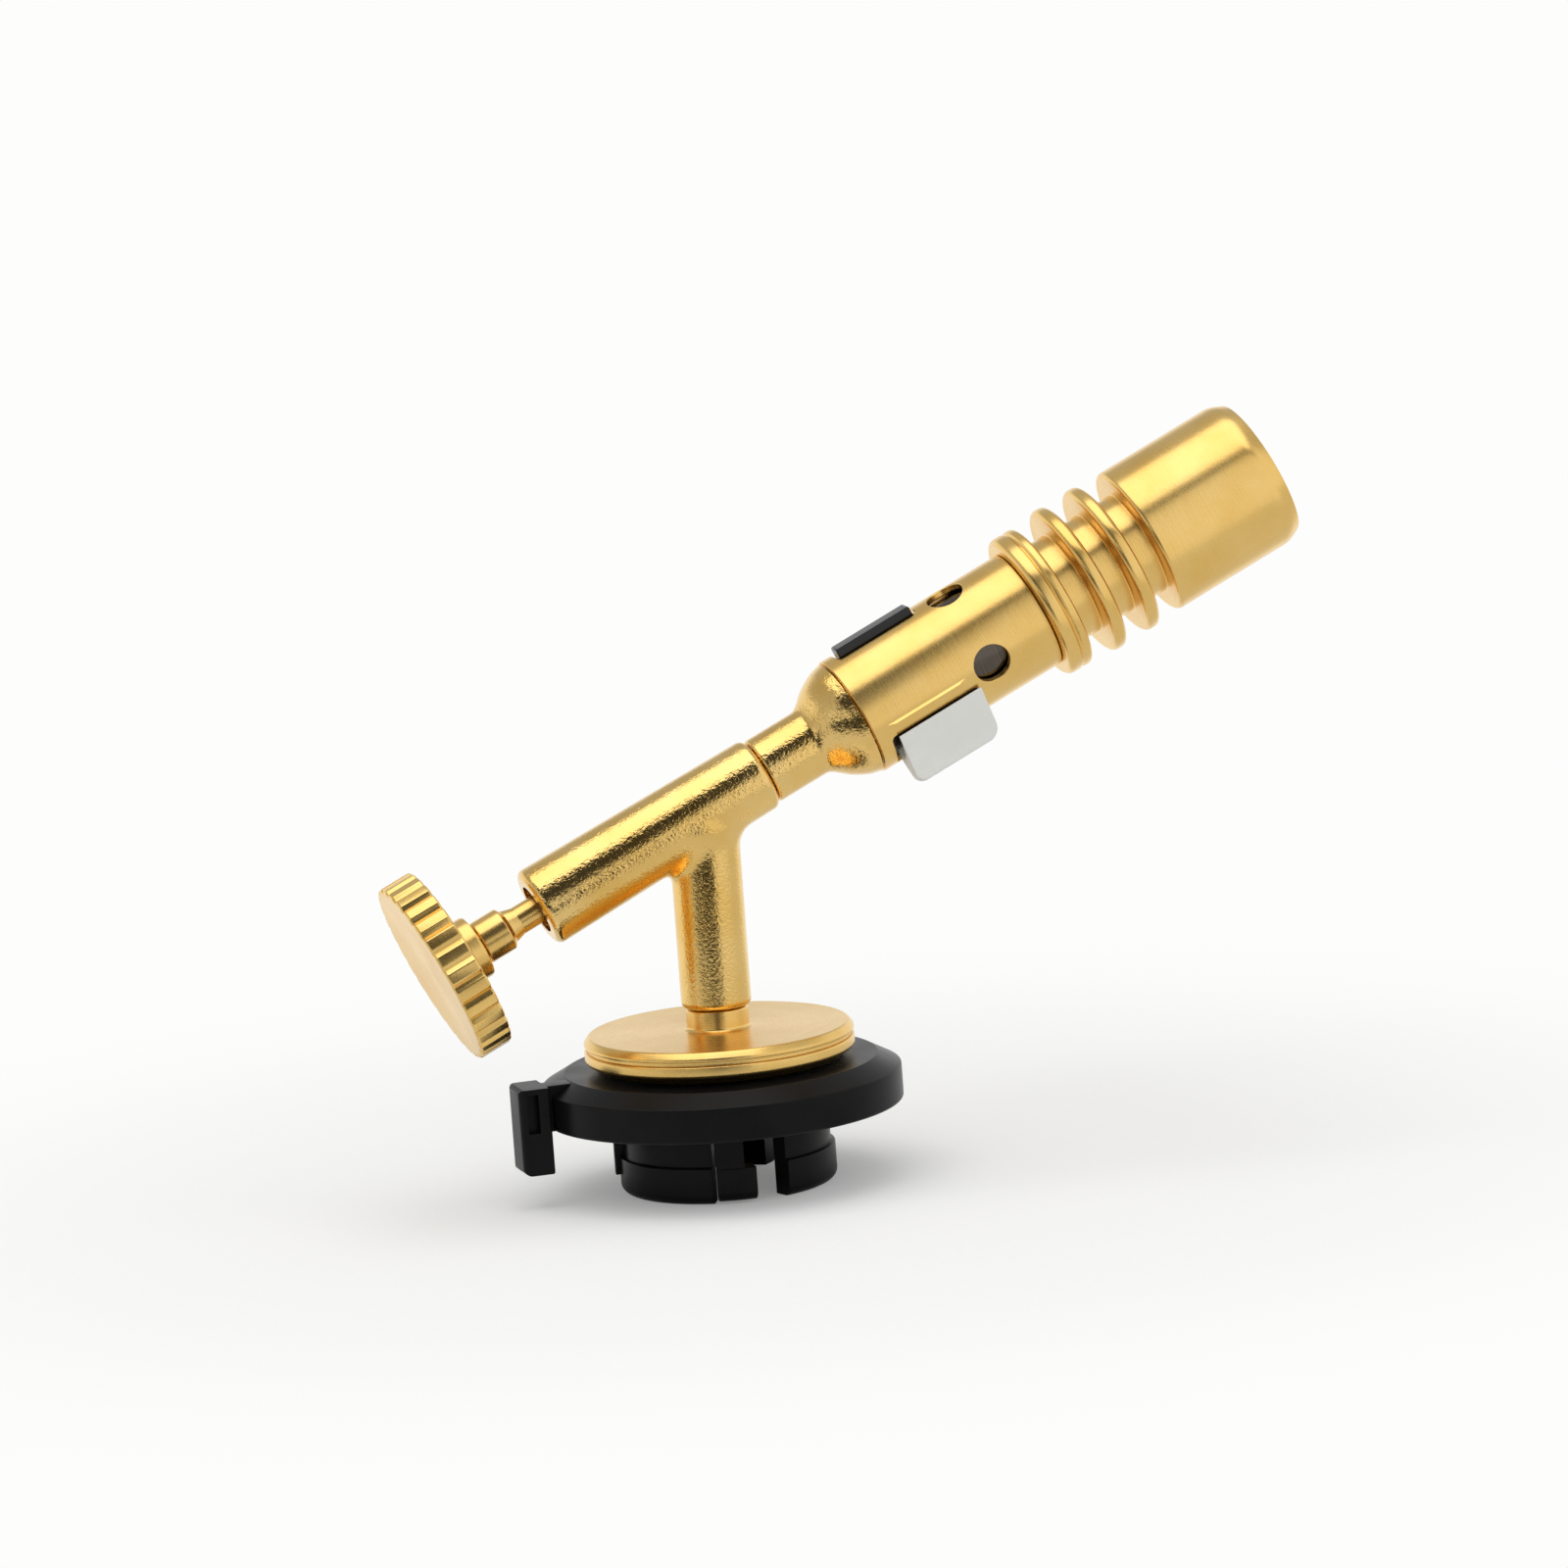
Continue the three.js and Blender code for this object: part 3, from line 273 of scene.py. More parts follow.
def smooth(obj, sharp_deg=35):
    """Smooth shading that keeps edges sharp past an angle and lets the large faces lead."""
    obj.data.shade_smooth()
    obj.data.set_sharp_from_angle(angle=radians(sharp_deg))
    modifier = obj.modifiers.new("normals", "WEIGHTED_NORMAL")
    modifier.keep_sharp = True
    modifier.weight = 100
    return obj


def skinned(name, rings, place, whole):
    """Body whose skin runs through rings of points: right round, or from one cap to another."""
    size = len(rings[0])
    faces = []
    for ring in range(len(rings) if whole else len(rings) - 1):
        here, there = ring * size, (ring + 1) % len(rings) * size
        for i in range(size):
            j = (i + 1) % size
            faces.append((here + i, there + i, there + j, here + j))
    if not whole:
        faces.append(tuple(range(size)))
        faces.append(tuple(reversed(range((len(rings) - 1) * size, len(rings) * size))))
    return cleaned(new_object(name, [point for ring in rings for point in ring], faces, place))


def turned(name, corners, place, sides=160, start=0, end=FULL_TURN):
    """Body of revolution about a frame's Z, whole or between two directions in degrees."""
    outline = filleted(corners)
    whole = end - start >= FULL_TURN
    count = max(3, round(sides * (end - start) / FULL_TURN))
    rings = []
    for ring in range(count if whole else count + 1):
        angle = radians(start + (end - start) * ring / count)
        rings.append([(p.x * cos(angle), p.x * sin(angle), p.y) for p in outline])
    return skinned(name, rings, place, whole)


def prism(name, corners, low, high, place, steps=6):
    """Straight body that stands on a filleted outline in X and Y."""
    outline = filleted(corners, steps)
    return skinned(name, [[(p.x, p.y, height) for p in outline] for height in (low, high)], place, False)


def turned_piece(name, corners, place, sides, *finish):
    finish_piece(smooth(turned(name, corners, place, sides)), *finish)


def block(name, low, high, place):
    return prism(name, rectangle(low[0], high[0], low[1], high[1]), low[2], high[2], place)


def rod(name, radius, low, high, place, sides):
    return turned(name, rectangle(0, radius, low, high), place, sides)


def boolean(operation, obj, *tools):
    """Joins tools to an object, cuts them out of it or keeps what they share, and removes them."""
    for tool in tools:
        modifier = obj.modifiers.new("boolean", "BOOLEAN")
        modifier.operation = operation
        modifier.solver = "MANIFOLD"
        modifier.object = tool
    apply_modifiers(obj)
    for tool in tools:
        bpy.data.objects.remove(tool)
    return obj


cut, join, common = (partial(boolean, operation) for operation in ("DIFFERENCE", "UNION", "INTERSECT"))


def bevelled(obj, width, segments=2):
    """Rounds an object's edges by a width in millimetres."""
    modifier = obj.modifiers.new("edges", "BEVEL")
    modifier.width = width * MM
    modifier.segments = segments
    modifier.limit_method = "ANGLE"
    modifier.angle_limit = radians(30)
    return apply_modifiers(obj)


def around(count, first_deg=0):
    return [first_deg + FULL_TURN * i / count for i in range(count)]


def turn_z(place, deg, out=0):
    """Frame turned about its Z, then moved out from it by millimetres."""
    return place @ Matrix.Rotation(radians(deg), 4, "Z") @ Matrix.Translation((out * MM, 0, 0))


def finish_piece(obj, body, material, slot, *nodes):
    """Gives a piece its material and its body, and hides the CAD nodes that it stands for."""
    obj.data.materials.clear()
    obj.data.materials.append(material)
    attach(obj, body)
    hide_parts(*nodes)


# Thin tube with rounded openings, made flat and wrapped, so that its wall stays perfectly round


def off_core(spot, opening):
    """Vector to a spot from an opening's core, which lies one fillet radius inside the opening's edge."""
    left, right, low, high, corner = opening
    nearest_u = min(max(spot.x, left + corner), right - corner)
    nearest_v = min(max(spot.y, low + corner), high - corner)
    return spot - Vector((nearest_u, nearest_v))


class WrappedTube:
    """Tube about a frame's Z. Its flat wall has u round the outside and v along the axis."""

    strips = 180
    hole_steps = 8
    edge_steps = 3
    snap = 1e-3

    def __init__(self, radius, wall, low, high, edge_round, start_deg, openings, pressed=None):
        """Takes openings as left, right, low, high and fillet radius in the flat wall."""
        self.radius = radius
        self.wall = wall
        self.round = edge_round
        self.low, self.high = low + edge_round, high - edge_round
        self.start = radians(start_deg) * radius
        self.end = self.start + 2 * pi * radius
        growth = np.array((-1, 1, -1, 1, 1)) * edge_round
        self.openings = [tuple(growth + opening) for opening in openings]
        self.pressed = pressed

    def pressed_rise(self, u, v):
        """Height of the pressed line beside a window: most at its crest, less at the window's edge."""
        line = self.pressed
        if line is None or u > line.us[2] + line.corner:
            return 0
        along = min(v - line.low, line.high - v) / line.fade
        return float(np.interp(u, line.us, line.rises)) * min(1, max(0, along))

    def flat_sheet(self):
        """Points and triangles of the flat wall between its openings, split along the strips."""
        points, edges = [], []
        for opening in self.openings:
            loop = filleted(rectangle(*opening), self.hole_steps)
            first = len(points)
            points += loop
            edges += [(first + i, first + (i + 1) % len(loop)) for i in range(len(loop))]
        across = list(np.linspace(self.start, self.end, self.strips + 1))
        along = [self.low, self.high]
        if self.pressed:
            line = self.pressed
            across += line.us
            along += [line.low, line.low + line.fade, line.high - line.fade, line.high]
        lines = [((u, self.low), (u, self.high)) for u in across]
        lines += [((self.start, v), (self.end, v)) for v in along]
        for ends in lines:
            points += [Vector(end) for end in ends]
            edges.append((len(points) - 2, len(points) - 1))
        points, _, triangles, *_ = delaunay_2d_cdt(points, edges, [], 0, 1e-5)
        kept = []
        for a, b, c in triangles:
            centre = (points[a] + points[b] + points[c]) / 3
            if all(off_core(centre, opening).length >= opening[4] for opening in self.openings):
                rising = (points[b] - points[a]).cross(points[c] - points[a]) > 0
                kept.append((a, b, c) if rising else (a, c, b))
        return points, kept

    def into_wall(self, spot):
        """Direction in the flat wall from the nearest end or opening into the wall."""
        for end, direction in ((self.low, 1), (self.high, -1)):
            if abs(spot.y - end) < self.snap:
                return Vector((0, direction))
        ways = [(off_core(spot, opening), opening[4]) for opening in self.openings]
        nearest, _ = min(ways, key=lambda way: abs(way[0].length - way[1]))
        return nearest.normalized()

    def seam_twins(self, points):
        """The point at the wall's start that meets each point at its end."""
        starts, ends = (
            {i: point.y for i, point in enumerate(points) if abs(point.x - u) < self.snap}
            for u in (self.start, self.end)
        )
        return {i: next(j for j in starts if abs(starts[j] - v) < self.snap) for i, v in ends.items()}

    def build(self, name, place):
        points, triangles = self.flat_sheet()
        twins = self.seam_twins(points)
        quarter = [pi / 2 * i / self.edge_steps for i in range(self.edge_steps + 1)]
        section = [(sin(a), cos(a), self.round * (1 - cos(a))) for a in quarter]
        section += [(s, -c, self.wall - depth) for s, c, depth in reversed(section)]
        last = len(section) - 1
        vertices, faces, normals, index = [], [], [], {}

        def vertex_at(i, level):
            """Vertex over a flat point: on the outside, on the inside, or on the rounded edge between."""
            key = twins.get(i, i), level
            if key not in index:
                u, v = points[i]
                slope, _, depth = section[level]
                if level == 0:
                    depth = -self.pressed_rise(u, v)
                elif level < last:
                    u, v = points[i] - self.into_wall(points[i]) * self.round * slope
                index[key] = len(vertices)
                angle, distance = u / self.radius, self.radius - depth
                vertices.append((distance * cos(angle), distance * sin(angle), v))
            return index[key]

        def outward(i):
            angle = points[i].x / self.radius
            return Vector((cos(angle), sin(angle), 0))

        def edge_chain(i):
            """Vertices and normals over the rounded edge at a flat point, from outside to inside."""
            into, out = self.into_wall(points[i]), outward(i)
            side = Vector((out.y * into.x, -out.x * into.x, -into.y))
            return [
                (vertex_at(i, level), (side * s + out * c).normalized())
                for level, (s, c, _) in enumerate(section)
            ]

        for triangle in triangles:
            centre = sum((points[i] for i in triangle), Vector((0, 0))) / 3
            for level, order in ((0, triangle), (last, triangle[::-1])):
                faces.append([vertex_at(i, level) for i in order])
                if level == 0 and self.pressed_rise(*centre):
                    a, b, c = (Vector(vertices[vertex]) for vertex in faces[-1])
                    normals += [(b - a).cross(c - a).normalized()] * 3
                else:
                    normals += [outward(i) if level == 0 else -outward(i) for i in order]
        sides = {}
        for triangle in triangles:
            for i, j in zip(triangle, triangle[1:] + triangle[:1]):
                sides[twins.get(i, i), twins.get(j, j)] = i, j
        open_sides = [side for (a, b), side in sides.items() if (b, a) not in sides]
        for i, j in open_sides:
            first, second = edge_chain(i), edge_chain(j)
            for level in range(last):
                ring = [second[level], first[level], first[level + 1], second[level + 1]]
                faces.append([vertex for vertex, _ in ring])
                normals += [normal for _, normal in ring]
        obj = new_object(name, vertices, faces, place)
        obj.data.shade_smooth()
        obj.data.normals_split_custom_set([normal[:] for normal in normals])
        return obj


# Smooth casting: a distance field meshed as a net of quads


def rounded_rod_distance(from_axis, along, radius, low, high, edge_round):
    """Distance to a round bar whose ends have rounded edges."""
    side = from_axis - radius + edge_round
    end = np.abs(along - (low + high) / 2) - (high - low) / 2 + edge_round
    outside = np.hypot(np.maximum(side, 0), np.maximum(end, 0))
    return outside + np.minimum(np.maximum(side, end), 0) - edge_round


def blended(first, second, width):
    """Union of two distance fields with a fillet of a width."""
    share = np.maximum(width - np.abs(first - second), 0) / width
    return np.minimum(first, second) - share**2 * width / 4


def field_slope(field, points, step=0.01):
    """Gradient of a distance field."""
    rises = [field(points + offset) - field(points - offset) for offset in np.eye(3) * step]
    return np.stack(rises, axis=-1) / (2 * step)


def surface_net(field, low, high, cell):
    """Vertices and quads of the surface where a field is zero, drawn onto it by Newton steps."""
    axes = [a + cell * np.arange(ceil((b - a) / cell) + 1) for a, b in zip(low, high)]
    grid = np.stack(np.meshgrid(*axes, indexing="ij"), axis=-1)
    inside = field(grid) < 0
    cells = [len(axis) - 1 for axis in axes]
    corners = [tuple(slice(o, o + n) for o, n in zip(offset, cells)) for offset in np.ndindex(2, 2, 2)]
    filled = sum(inside[corner].astype(int) for corner in corners)
    mixed = (filled > 0) & (filled < len(corners))
    number = np.full(mixed.shape, -1)
    number[mixed] = np.arange(mixed.sum())
    points = grid[corners[0]][mixed] + cell / 2
    for _ in range(6):
        slope = field_slope(field, points, cell / 100)
        size = np.maximum((slope**2).sum(axis=-1), 0.05)
        points = points - slope * (field(points) / size)[:, None] * 0.8
    quads = []
    for axis in range(3):
        others = [other for other in range(3) if other != axis]
        crossing = inside != np.roll(inside, -1, axis=axis)
        crossing[tuple(-1 if a == axis else slice(None) for a in range(3))] = False
        for spot in np.argwhere(crossing):
            quad = []
            for shift in ((-1, -1), (0, -1), (0, 0), (-1, 0)):
                neighbour = spot.copy()
                neighbour[others] += shift
                quad.append(int(number[tuple(neighbour)]))
            quads.append(quad if inside[tuple(spot)] != (axis == 1) else quad[::-1])
    return points, quads


# Materials


class Shader:
    """Nodes of a material or of the world, with short calls for what feeds them."""

    def __init__(self, owner, end="Principled BSDF", space="Object"):
        owner.use_nodes = True
        self.owner = owner
        self.tree = owner.node_tree
        self.end = self.tree.nodes[end]
        self.coordinates = self.node("TexCoord")[space]

    def feed(self, node, inputs):
        for key, value in inputs.items():
            if isinstance(value, bpy.types.NodeSocket):
                self.tree.links.new(value, node.inputs[key])
            else:
                node.inputs[key].default_value = value

    def node(self, kind, inputs=None, **settings):
        """Outputs of a new node, whose inputs are fed by sockets or set to values."""
        made = self.tree.nodes.new("ShaderNode" + kind)
        for key, value in settings.items():
            setattr(made, key, value)
        self.feed(made, inputs or {})
        return made.outputs

    def looks(self, inputs):
        """Feeds the last shader and hands over the material."""
        self.feed(self.end, inputs)
        return self.owner

    def maths(self, operation, *values):
        return self.node("Math", dict(enumerate(values)), operation=operation)[0]

    def times(self, value, *factors):
        for factor in factors:
            value = self.maths("MULTIPLY", value, factor)
        return value

    def noise(self, scale, detail=3, roughness=0.5, vector=None):
        vector = self.coordinates if vector is None else vector
        inputs = {"Vector": vector, "Scale": scale, "Detail": detail, "Roughness": roughness}
        return self.node("TexNoise", inputs)["Fac"]

    def scaled(self, amounts):
        return self.node("VectorMath", {0: self.coordinates, 1: amounts}, operation="MULTIPLY")[0]

    def between(self, value, low, high, to_low=0, to_high=1, interpolation="LINEAR"):
        """A value stretched from one range to another, and held at its ends."""
        inputs = dict(enumerate((value, low, high, to_low, to_high)))
        return self.node("MapRange", inputs, interpolation_type=interpolation)[0]

    def step(self, value, zero_at, one_at):
        return self.between(value, zero_at, one_at, interpolation="SMOOTHSTEP")

    def varied(self, pattern, value, low_share, high_share):
        """A value that a pattern takes a little down and up."""
        return self.between(pattern, 0.3, 0.7, value * low_share, value * high_share)

    def level(self, factor, first, second):
        return self.node("Mix", {0: factor, 2: first, 3: second}, data_type="FLOAT")[0]

    def mixed(self, factor, first, second):
        inputs = {0: factor, 6: (*first, 1), 7: (*second, 1)}
        return self.node("Mix", inputs, data_type="RGBA")[2]

    def tinted(self, pattern, low, high, first, second):
        """Colour that goes from one tone to another as a pattern rises from low to high."""
        return self.mixed(self.between(pattern, low, high), first, second)

    def bump(self, height, strength, distance, under=None):
        inputs = {"Height": height, "Strength": strength, "Distance": distance}
        if under is not None:
            inputs["Normal"] = under
        return self.node("Bump", inputs)["Normal"]

    def turning_lines(self, fineness, length_share):
        """Noise in rings round the object's Z: fine along the axis and outwards, drawn out around it."""
        outwards = self.node("VectorMath", {0: self.scaled((1, 1, 0))}, operation="LENGTH")["Value"]
        x, y, height = self.node("SeparateXYZ", {0: self.coordinates})
        fine = self.times(self.maths("ADD", outwards, height), fineness)
        drawn_out = [self.times(value, fineness * length_share) for value in (x, y)]
        vector = self.node("CombineXYZ", dict(enumerate((*drawn_out, fine))))[0]
        return self.noise(1, 4, 0.6, vector)


def turned_brass(name, light, deep, roughness, line_strength):
    """Satin brass with the fine lines of turning, faint tarnish clouds and small pits."""
    shader = Shader(bpy.data.materials.new(name))
    lines = shader.turning_lines(5200, 0.03)
    grain = shader.bump(shader.noise(1500, 2), 0.15, 0.00004)
    return shader.looks({
        "Base Color": shader.tinted(shader.noise(170, 4, 0.6), 0.35, 0.7, light, deep),
        "Metallic": 1,
        "Anisotropic": 0.35,
        "Anisotropic Rotation": 0.25,
        "Roughness": shader.varied(lines, roughness, 0.92, 1.08),
        "Normal": shader.bump(lines, line_strength, 0.00002, grain),
    })


def cast_brass(name, light, deep, roughness, grain_strength):
    """Polished casting: a bright skin over a fine orange-peel grain."""
    shader = Shader(bpy.data.materials.new(name))
    peel = shader.noise(2600, 2, 0.6)
    waves = shader.bump(shader.noise(260, 2), 0.25, 0.00006)
    return shader.looks({
        "Base Color": shader.tinted(shader.noise(140), 0.35, 0.7, light, deep),
        "Metallic": 1,
        "Roughness": shader.varied(peel, roughness, 0.8, 1.4),
        "Normal": shader.bump(peel, grain_strength, 0.00011, waves),
    })


def brushed_steel(name, colour, dark, roughness):
    shader = Shader(bpy.data.materials.new(name))
    lines = shader.turning_lines(6000, 0.02)
    waves = shader.bump(shader.noise(300, 2, vector=shader.scaled((1, 1, 0.4))), 0.8, 0.0003)
    return shader.looks({
        "Base Color": shader.tinted(lines, 0.3, 0.7, colour, dark),
        "Metallic": 1,
        "Roughness": shader.varied(lines, roughness, 0.7, 1.3),
        "Normal": shader.bump(lines, 0.3, 0.00003, waves),
    })


def moulded(name, colour, worn, roughness, grain_scale, grain_strength, gloss=0.5):
    """Moulded plastic or rubber with a fine grained skin and faint rubbed clouds."""
    shader = Shader(bpy.data.materials.new(name))
    clouds = shader.noise(120, 4, 0.6)
    return shader.looks({
        "Base Color": shader.tinted(clouds, 0.4, 0.75, colour, worn),
        "Specular IOR Level": gloss,
        "Roughness": shader.varied(clouds, roughness, 0.85, 1.15),
        "Normal": shader.bump(shader.noise(grain_scale, 3, 0.6), grain_strength, 0.00004),
    })


def porous(name, colour, deep):
    shader = Shader(bpy.data.materials.new(name))
    grains = shader.node("TexVoronoi", {"Vector": shader.coordinates, "Scale": 4500})["Distance"]
    return shader.looks({
        "Base Color": shader.mixed(grains, deep, colour),
        "Metallic": 1,
        "Roughness": 0.65,
        "Normal": shader.bump(grains, 0.6, 0.0001),
    })


satin = turned_brass("satin_brass", (0.9, 0.61, 0.21), (0.85, 0.54, 0.155), 0.27, 0.06)
cast = cast_brass("cast_brass", (0.9, 0.62, 0.23), (0.83, 0.53, 0.15), 0.08, 0.55)
plain = turned_brass("plain_brass", (0.7, 0.5, 0.2), (0.55, 0.37, 0.13), 0.36, 0.5)
# The steel's colours are far darker than bare steel: painted shade, so that the sleeve seen through the air
# holes looks as dark as the shaded inside of the barrel. The screws, the flame holder and the needle use
# this same darkened steel.
steel = brushed_steel("steel", (0.15, 0.125, 0.1), (0.08, 0.068, 0.055), 0.13)
bronze = porous("sintered_bronze", (0.45, 0.29, 0.12), (0.1, 0.06, 0.03))
black = moulded("black_plastic", (0.004, 0.004, 0.0045), (0.007, 0.007, 0.0075), 0.3, 2600, 0.12, 0.1)
glossy_black = moulded("glossy_black_plastic", (0.006,) * 3, (0.01,) * 3, 0.16, 2600, 0.05, 0.4)
grey = moulded("grey_plastic", (0.68, 0.68, 0.65), (0.73, 0.73, 0.7), 0.5, 2000, 0.06)
rubber = moulded("rubber", (0.02,) * 3, (0.03,) * 3, 0.7, 3000, 0.25)
fibre = moulded("fibre", (0.28, 0.06, 0.03), (0.35, 0.1, 0.05), 0.75, 1800, 0.4)

# Hidden CAD nodes keep their own mesh
kept_nodes = {
    "inlet_filter": bronze, "stem_washer": fibre, "gland_nut": plain, "spindle_seal": rubber,
    "valve_needle": steel, "gas_jet": plain, "jet_filter": bronze, "dome_seal": rubber,
}
for node, material in kept_nodes.items():
    kept = frame["nodes"][node]
    kept.data.materials.clear()
    kept.data.materials.append(material)


# Base moulding, its screws and the gas inlet


def base_shell():
    hole = boss_radius + gap
    wall_radius = base.radius - base.wall
    shell = turned("base_moulding", [
        (hole, ceiling), (wall_radius, ceiling, eased), (wall_radius, base.floor),
        (base.radius, base.floor, eased), (base.radius, rim_top, soft),
        (base.radius - base.chamfer_width, base_top, soft), (hole, base_top),
    ], row, 192)
    half = base.rib_thickness / 2
    rib_low = (collar.radius - collar.wall / 2, -half, base.floor + gap)
    rib_high = (base.radius - base.wall / 2, half, ceiling + base.wall / 5)
    turns = around(base.ribs, FULL_TURN / 2 / base.ribs)
    return join(shell, *(block("rib", rib_low, rib_high, turn_z(row, deg)) for deg in turns))


def collar_pieces():
    """Lugs with their necks, latches and stop, each with rounded edges. No two of them share a face."""
    inset = collar.inset
    top = base_top - base.wall / 2
    lug_radius = collar.radius + collar.lug_reach
    latch_radius = collar.radius + collar.latch_reach
    latch_inner = latch_radius - collar.latch_thickness
    lug_corners = [
        (socket_radius, 0), (lug_radius, 0, collar.foot_round),
        (lug_radius, collar.lug_height, collar.lug_round), (collar.radius, collar.lug_height),
        (collar.radius, top), (socket_radius, top),
    ]
    latch_rounds = (0, collar.foot_round, keen, 0)
    latch_corners = rectangle(latch_inner, latch_radius, collar.latch_lift, collar.lug_height, latch_rounds)
    spring_foot = collar.latch_lift + collar.foot_round
    spring_corners = rectangle(latch_inner + inset, latch_radius - inset, spring_foot, top - inset)
    lug_end = collar.lug_start + collar.lug_span
    latch_start = lug_end + collar.slot - FULL_TURN / collar.repeats
    latch_end = collar.lug_start - collar.notch
    parts = [
        ("lug", lug_corners, collar.lug_start, lug_end),
        ("latch", latch_corners, latch_start, latch_end),
        ("spring", spring_corners, latch_start + inset, latch_end - collar.latch_narrow),
    ]
    pieces = [
        turned(name, corners, row, 192, start + deg, end + deg)
        for deg in around(collar.repeats) for name, corners, start, end in parts
    ]
    stop_corners = rectangle(socket_radius + inset * 3, latch_radius, collar.stop_height, top - inset * 3)
    stop_end = collar.stop_start + collar.stop_span
    pieces.append(turned("stop", stop_corners, row, 192, collar.stop_start, stop_end))
    sides = (socket_radius + inset * 2, collar.radius - inset * 2)
    pieces.append(turned("upper", rectangle(*sides, base.floor - gap, top - inset * 2), row, 192))
    return [bevelled(piece, collar.edge_round) for piece in pieces]


def locating_finger():
    """Finger beside the rim, the web that joins it to the disc, and the recess in its face."""
    inner = base.radius + finger.stand_off
    outer = inner + finger.thickness
    half = finger.width / 2
    bottom = base_top - finger.length
    plan = rectangle(-outer, -inner, -half, half, (finger.round, soft, soft, finger.round))
    elevation = rectangle(-outer, -inner, bottom, base_top, finger.side_rounds)
    side_view = row @ Matrix.Rotation(pi / 2, 4, "X")
    body = common(
        prism("finger", plan, bottom, base_top, row),
        prism("along", elevation, -half - overrun, half + overrun, side_view),
    )
    web_low = (-(outer + inner) / 2, -finger.web_width / 2, base.floor)
    web_high = (base.chamfer_width - base.radius, finger.web_width / 2, base_top - finger.web_drop)
    web = bevelled(block("web", web_low, web_high, row), keen)
    middle = -(inner + finger.thickness / 2 + finger.recess_shift)
    recess_top = rim_top + finger.recess_rise
    recess_low = (middle - finger.recess_width / 2, -half - overrun, recess_top - finger.recess_length)
    recess_high = (middle + finger.recess_width / 2, finger.recess_depth - half, recess_top)
    return cut(join(bevelled(body, finger.edge_round), web), block("recess", recess_low, recess_high, row))


def bayonet_base():
    shell = join(base_shell(), *collar_pieces(), locating_finger())
    finish_piece(smooth(shell, 30), "torch", black, "black_plastic", "bayonet_base")


def base_screws():
    head_bottom = ceiling - gap - screw.head_height
    half = screw.slot_width / 2
    for i, deg in enumerate(around(screw.count, screw.first), 1):
        place = turn_z(row, deg, screw_circle)
        node = f"base_screw_{i}"
        _, top, _ = reach(node, row)
        body = turned(f"screw_{i}", [
            (0, head_bottom), (screw.head_radius, head_bottom, screw.head_round),
            (screw.head_radius, ceiling - gap, screw.rim_round), (screw.radius, ceiling - gap),
            (screw.radius, top), (0, top),
        ], place, 48)
        slot_high = (overrun, half, head_bottom + screw.slot_depth)
        slot = block("slot", (-overrun, -half, head_bottom - overrun), slot_high, place)
        finish_piece(smooth(cut(body, slot)), "torch", steel, "steel", node)


def mounting_disc():
    high_groove = disc_top - disc.groove_rise
    low_groove = high_groove - disc.groove_height
    groove_floor = disc_radius - disc.groove_depth
    thread_bore = inlet.thread_radius + gap
    thread_top = inlet_top + gap
    turned_piece("disc_turned", [
        (thread_bore, disc_foot), (boss_radius, disc_foot), (boss_radius, disc_bottom),
        (disc_radius - disc.bevel_width, disc_bottom, keen),
        (disc_radius, disc_bottom + disc.bevel_height, disc.round),
        (disc_radius, low_groove, soft), (groove_floor, low_groove, crisp),
        (groove_floor, high_groove, crisp), (disc_radius, high_groove, disc.groove_round),
        (disc_radius, disc_top - disc.chamfer_height, eased),
        (disc_radius - disc.chamfer_width, disc_top, full),
        (disc.neck_radius, disc_top, full), (disc.neck_radius, neck_top, soft),
        (disc.spigot_radius, neck_top), (disc.spigot_radius, spigot_top), (disc.bore, spigot_top),
        (disc.bore, thread_top), (thread_bore, thread_top),
    ], row, 192, "torch", satin, "satin_brass", "mounting_disc")


def gas_inlet():
    flange_top = inlet_foot + inlet.length
    flange_foot = flange_top - inlet.flange_thickness
    pocket_foot = inlet_foot + inlet.lip_height
    pocket_top = pocket_foot + inlet.pocket_depth
    lip_radius = inlet.pocket_radius - inlet.lip_reach
    body_radius = boss_radius - inlet.flange_reach
    turned_piece("inlet_turned", [
        (lip_radius, inlet_foot, crisp), (body_radius, inlet_foot, full), (body_radius, flange_foot, keen),
        (boss_radius, flange_foot, keen), (boss_radius, flange_top, keen),
        (inlet.thread_radius, flange_top), (inlet.thread_radius, inlet_top),
        (disc.bore + gap * 2, inlet_top), (disc.bore, pocket_top), (inlet.pocket_radius, pocket_top),
        (inlet.pocket_radius, pocket_foot), (lip_radius, pocket_foot),
    ], row, 128, "torch", plain, "plain_brass", "inlet_fitting")
    sides = (inlet.stem_hole, inlet.pocket_radius - gap)
    seal_corners = rectangle(*sides, pocket_foot + gap, pocket_top - gap, inlet.seal_round)
    turned_piece("inlet_ring", seal_corners, row, 96, "torch", rubber, "rubber", "inlet_seal")


# Valve casting, spindle and knob


def valve_field(points):
    """Distance to the valve's inclined barrel and its upright stem, blended into each other."""
    x, y, z = np.moveaxis(seen_from(burner, points), -1, 0)
    share = (z - knob_end) / (burner_end - knob_end)
    radius = valve.knob_end_radius + (valve.burner_end_radius - valve.knob_end_radius) * share
    inclined = rounded_rod_distance(np.hypot(x, y), z, radius, knob_end, burner_end, valve.round)
    stem_top = axis_height / MM - valve.stem_sink
    from_stem = np.hypot(points[..., 0], points[..., 1])
    upright = rounded_rod_distance(
        from_stem, points[..., 2], valve.stem_radius, stem_foot, stem_top, valve.stem_round
    )
    return blended(inclined, upright, valve.blend)


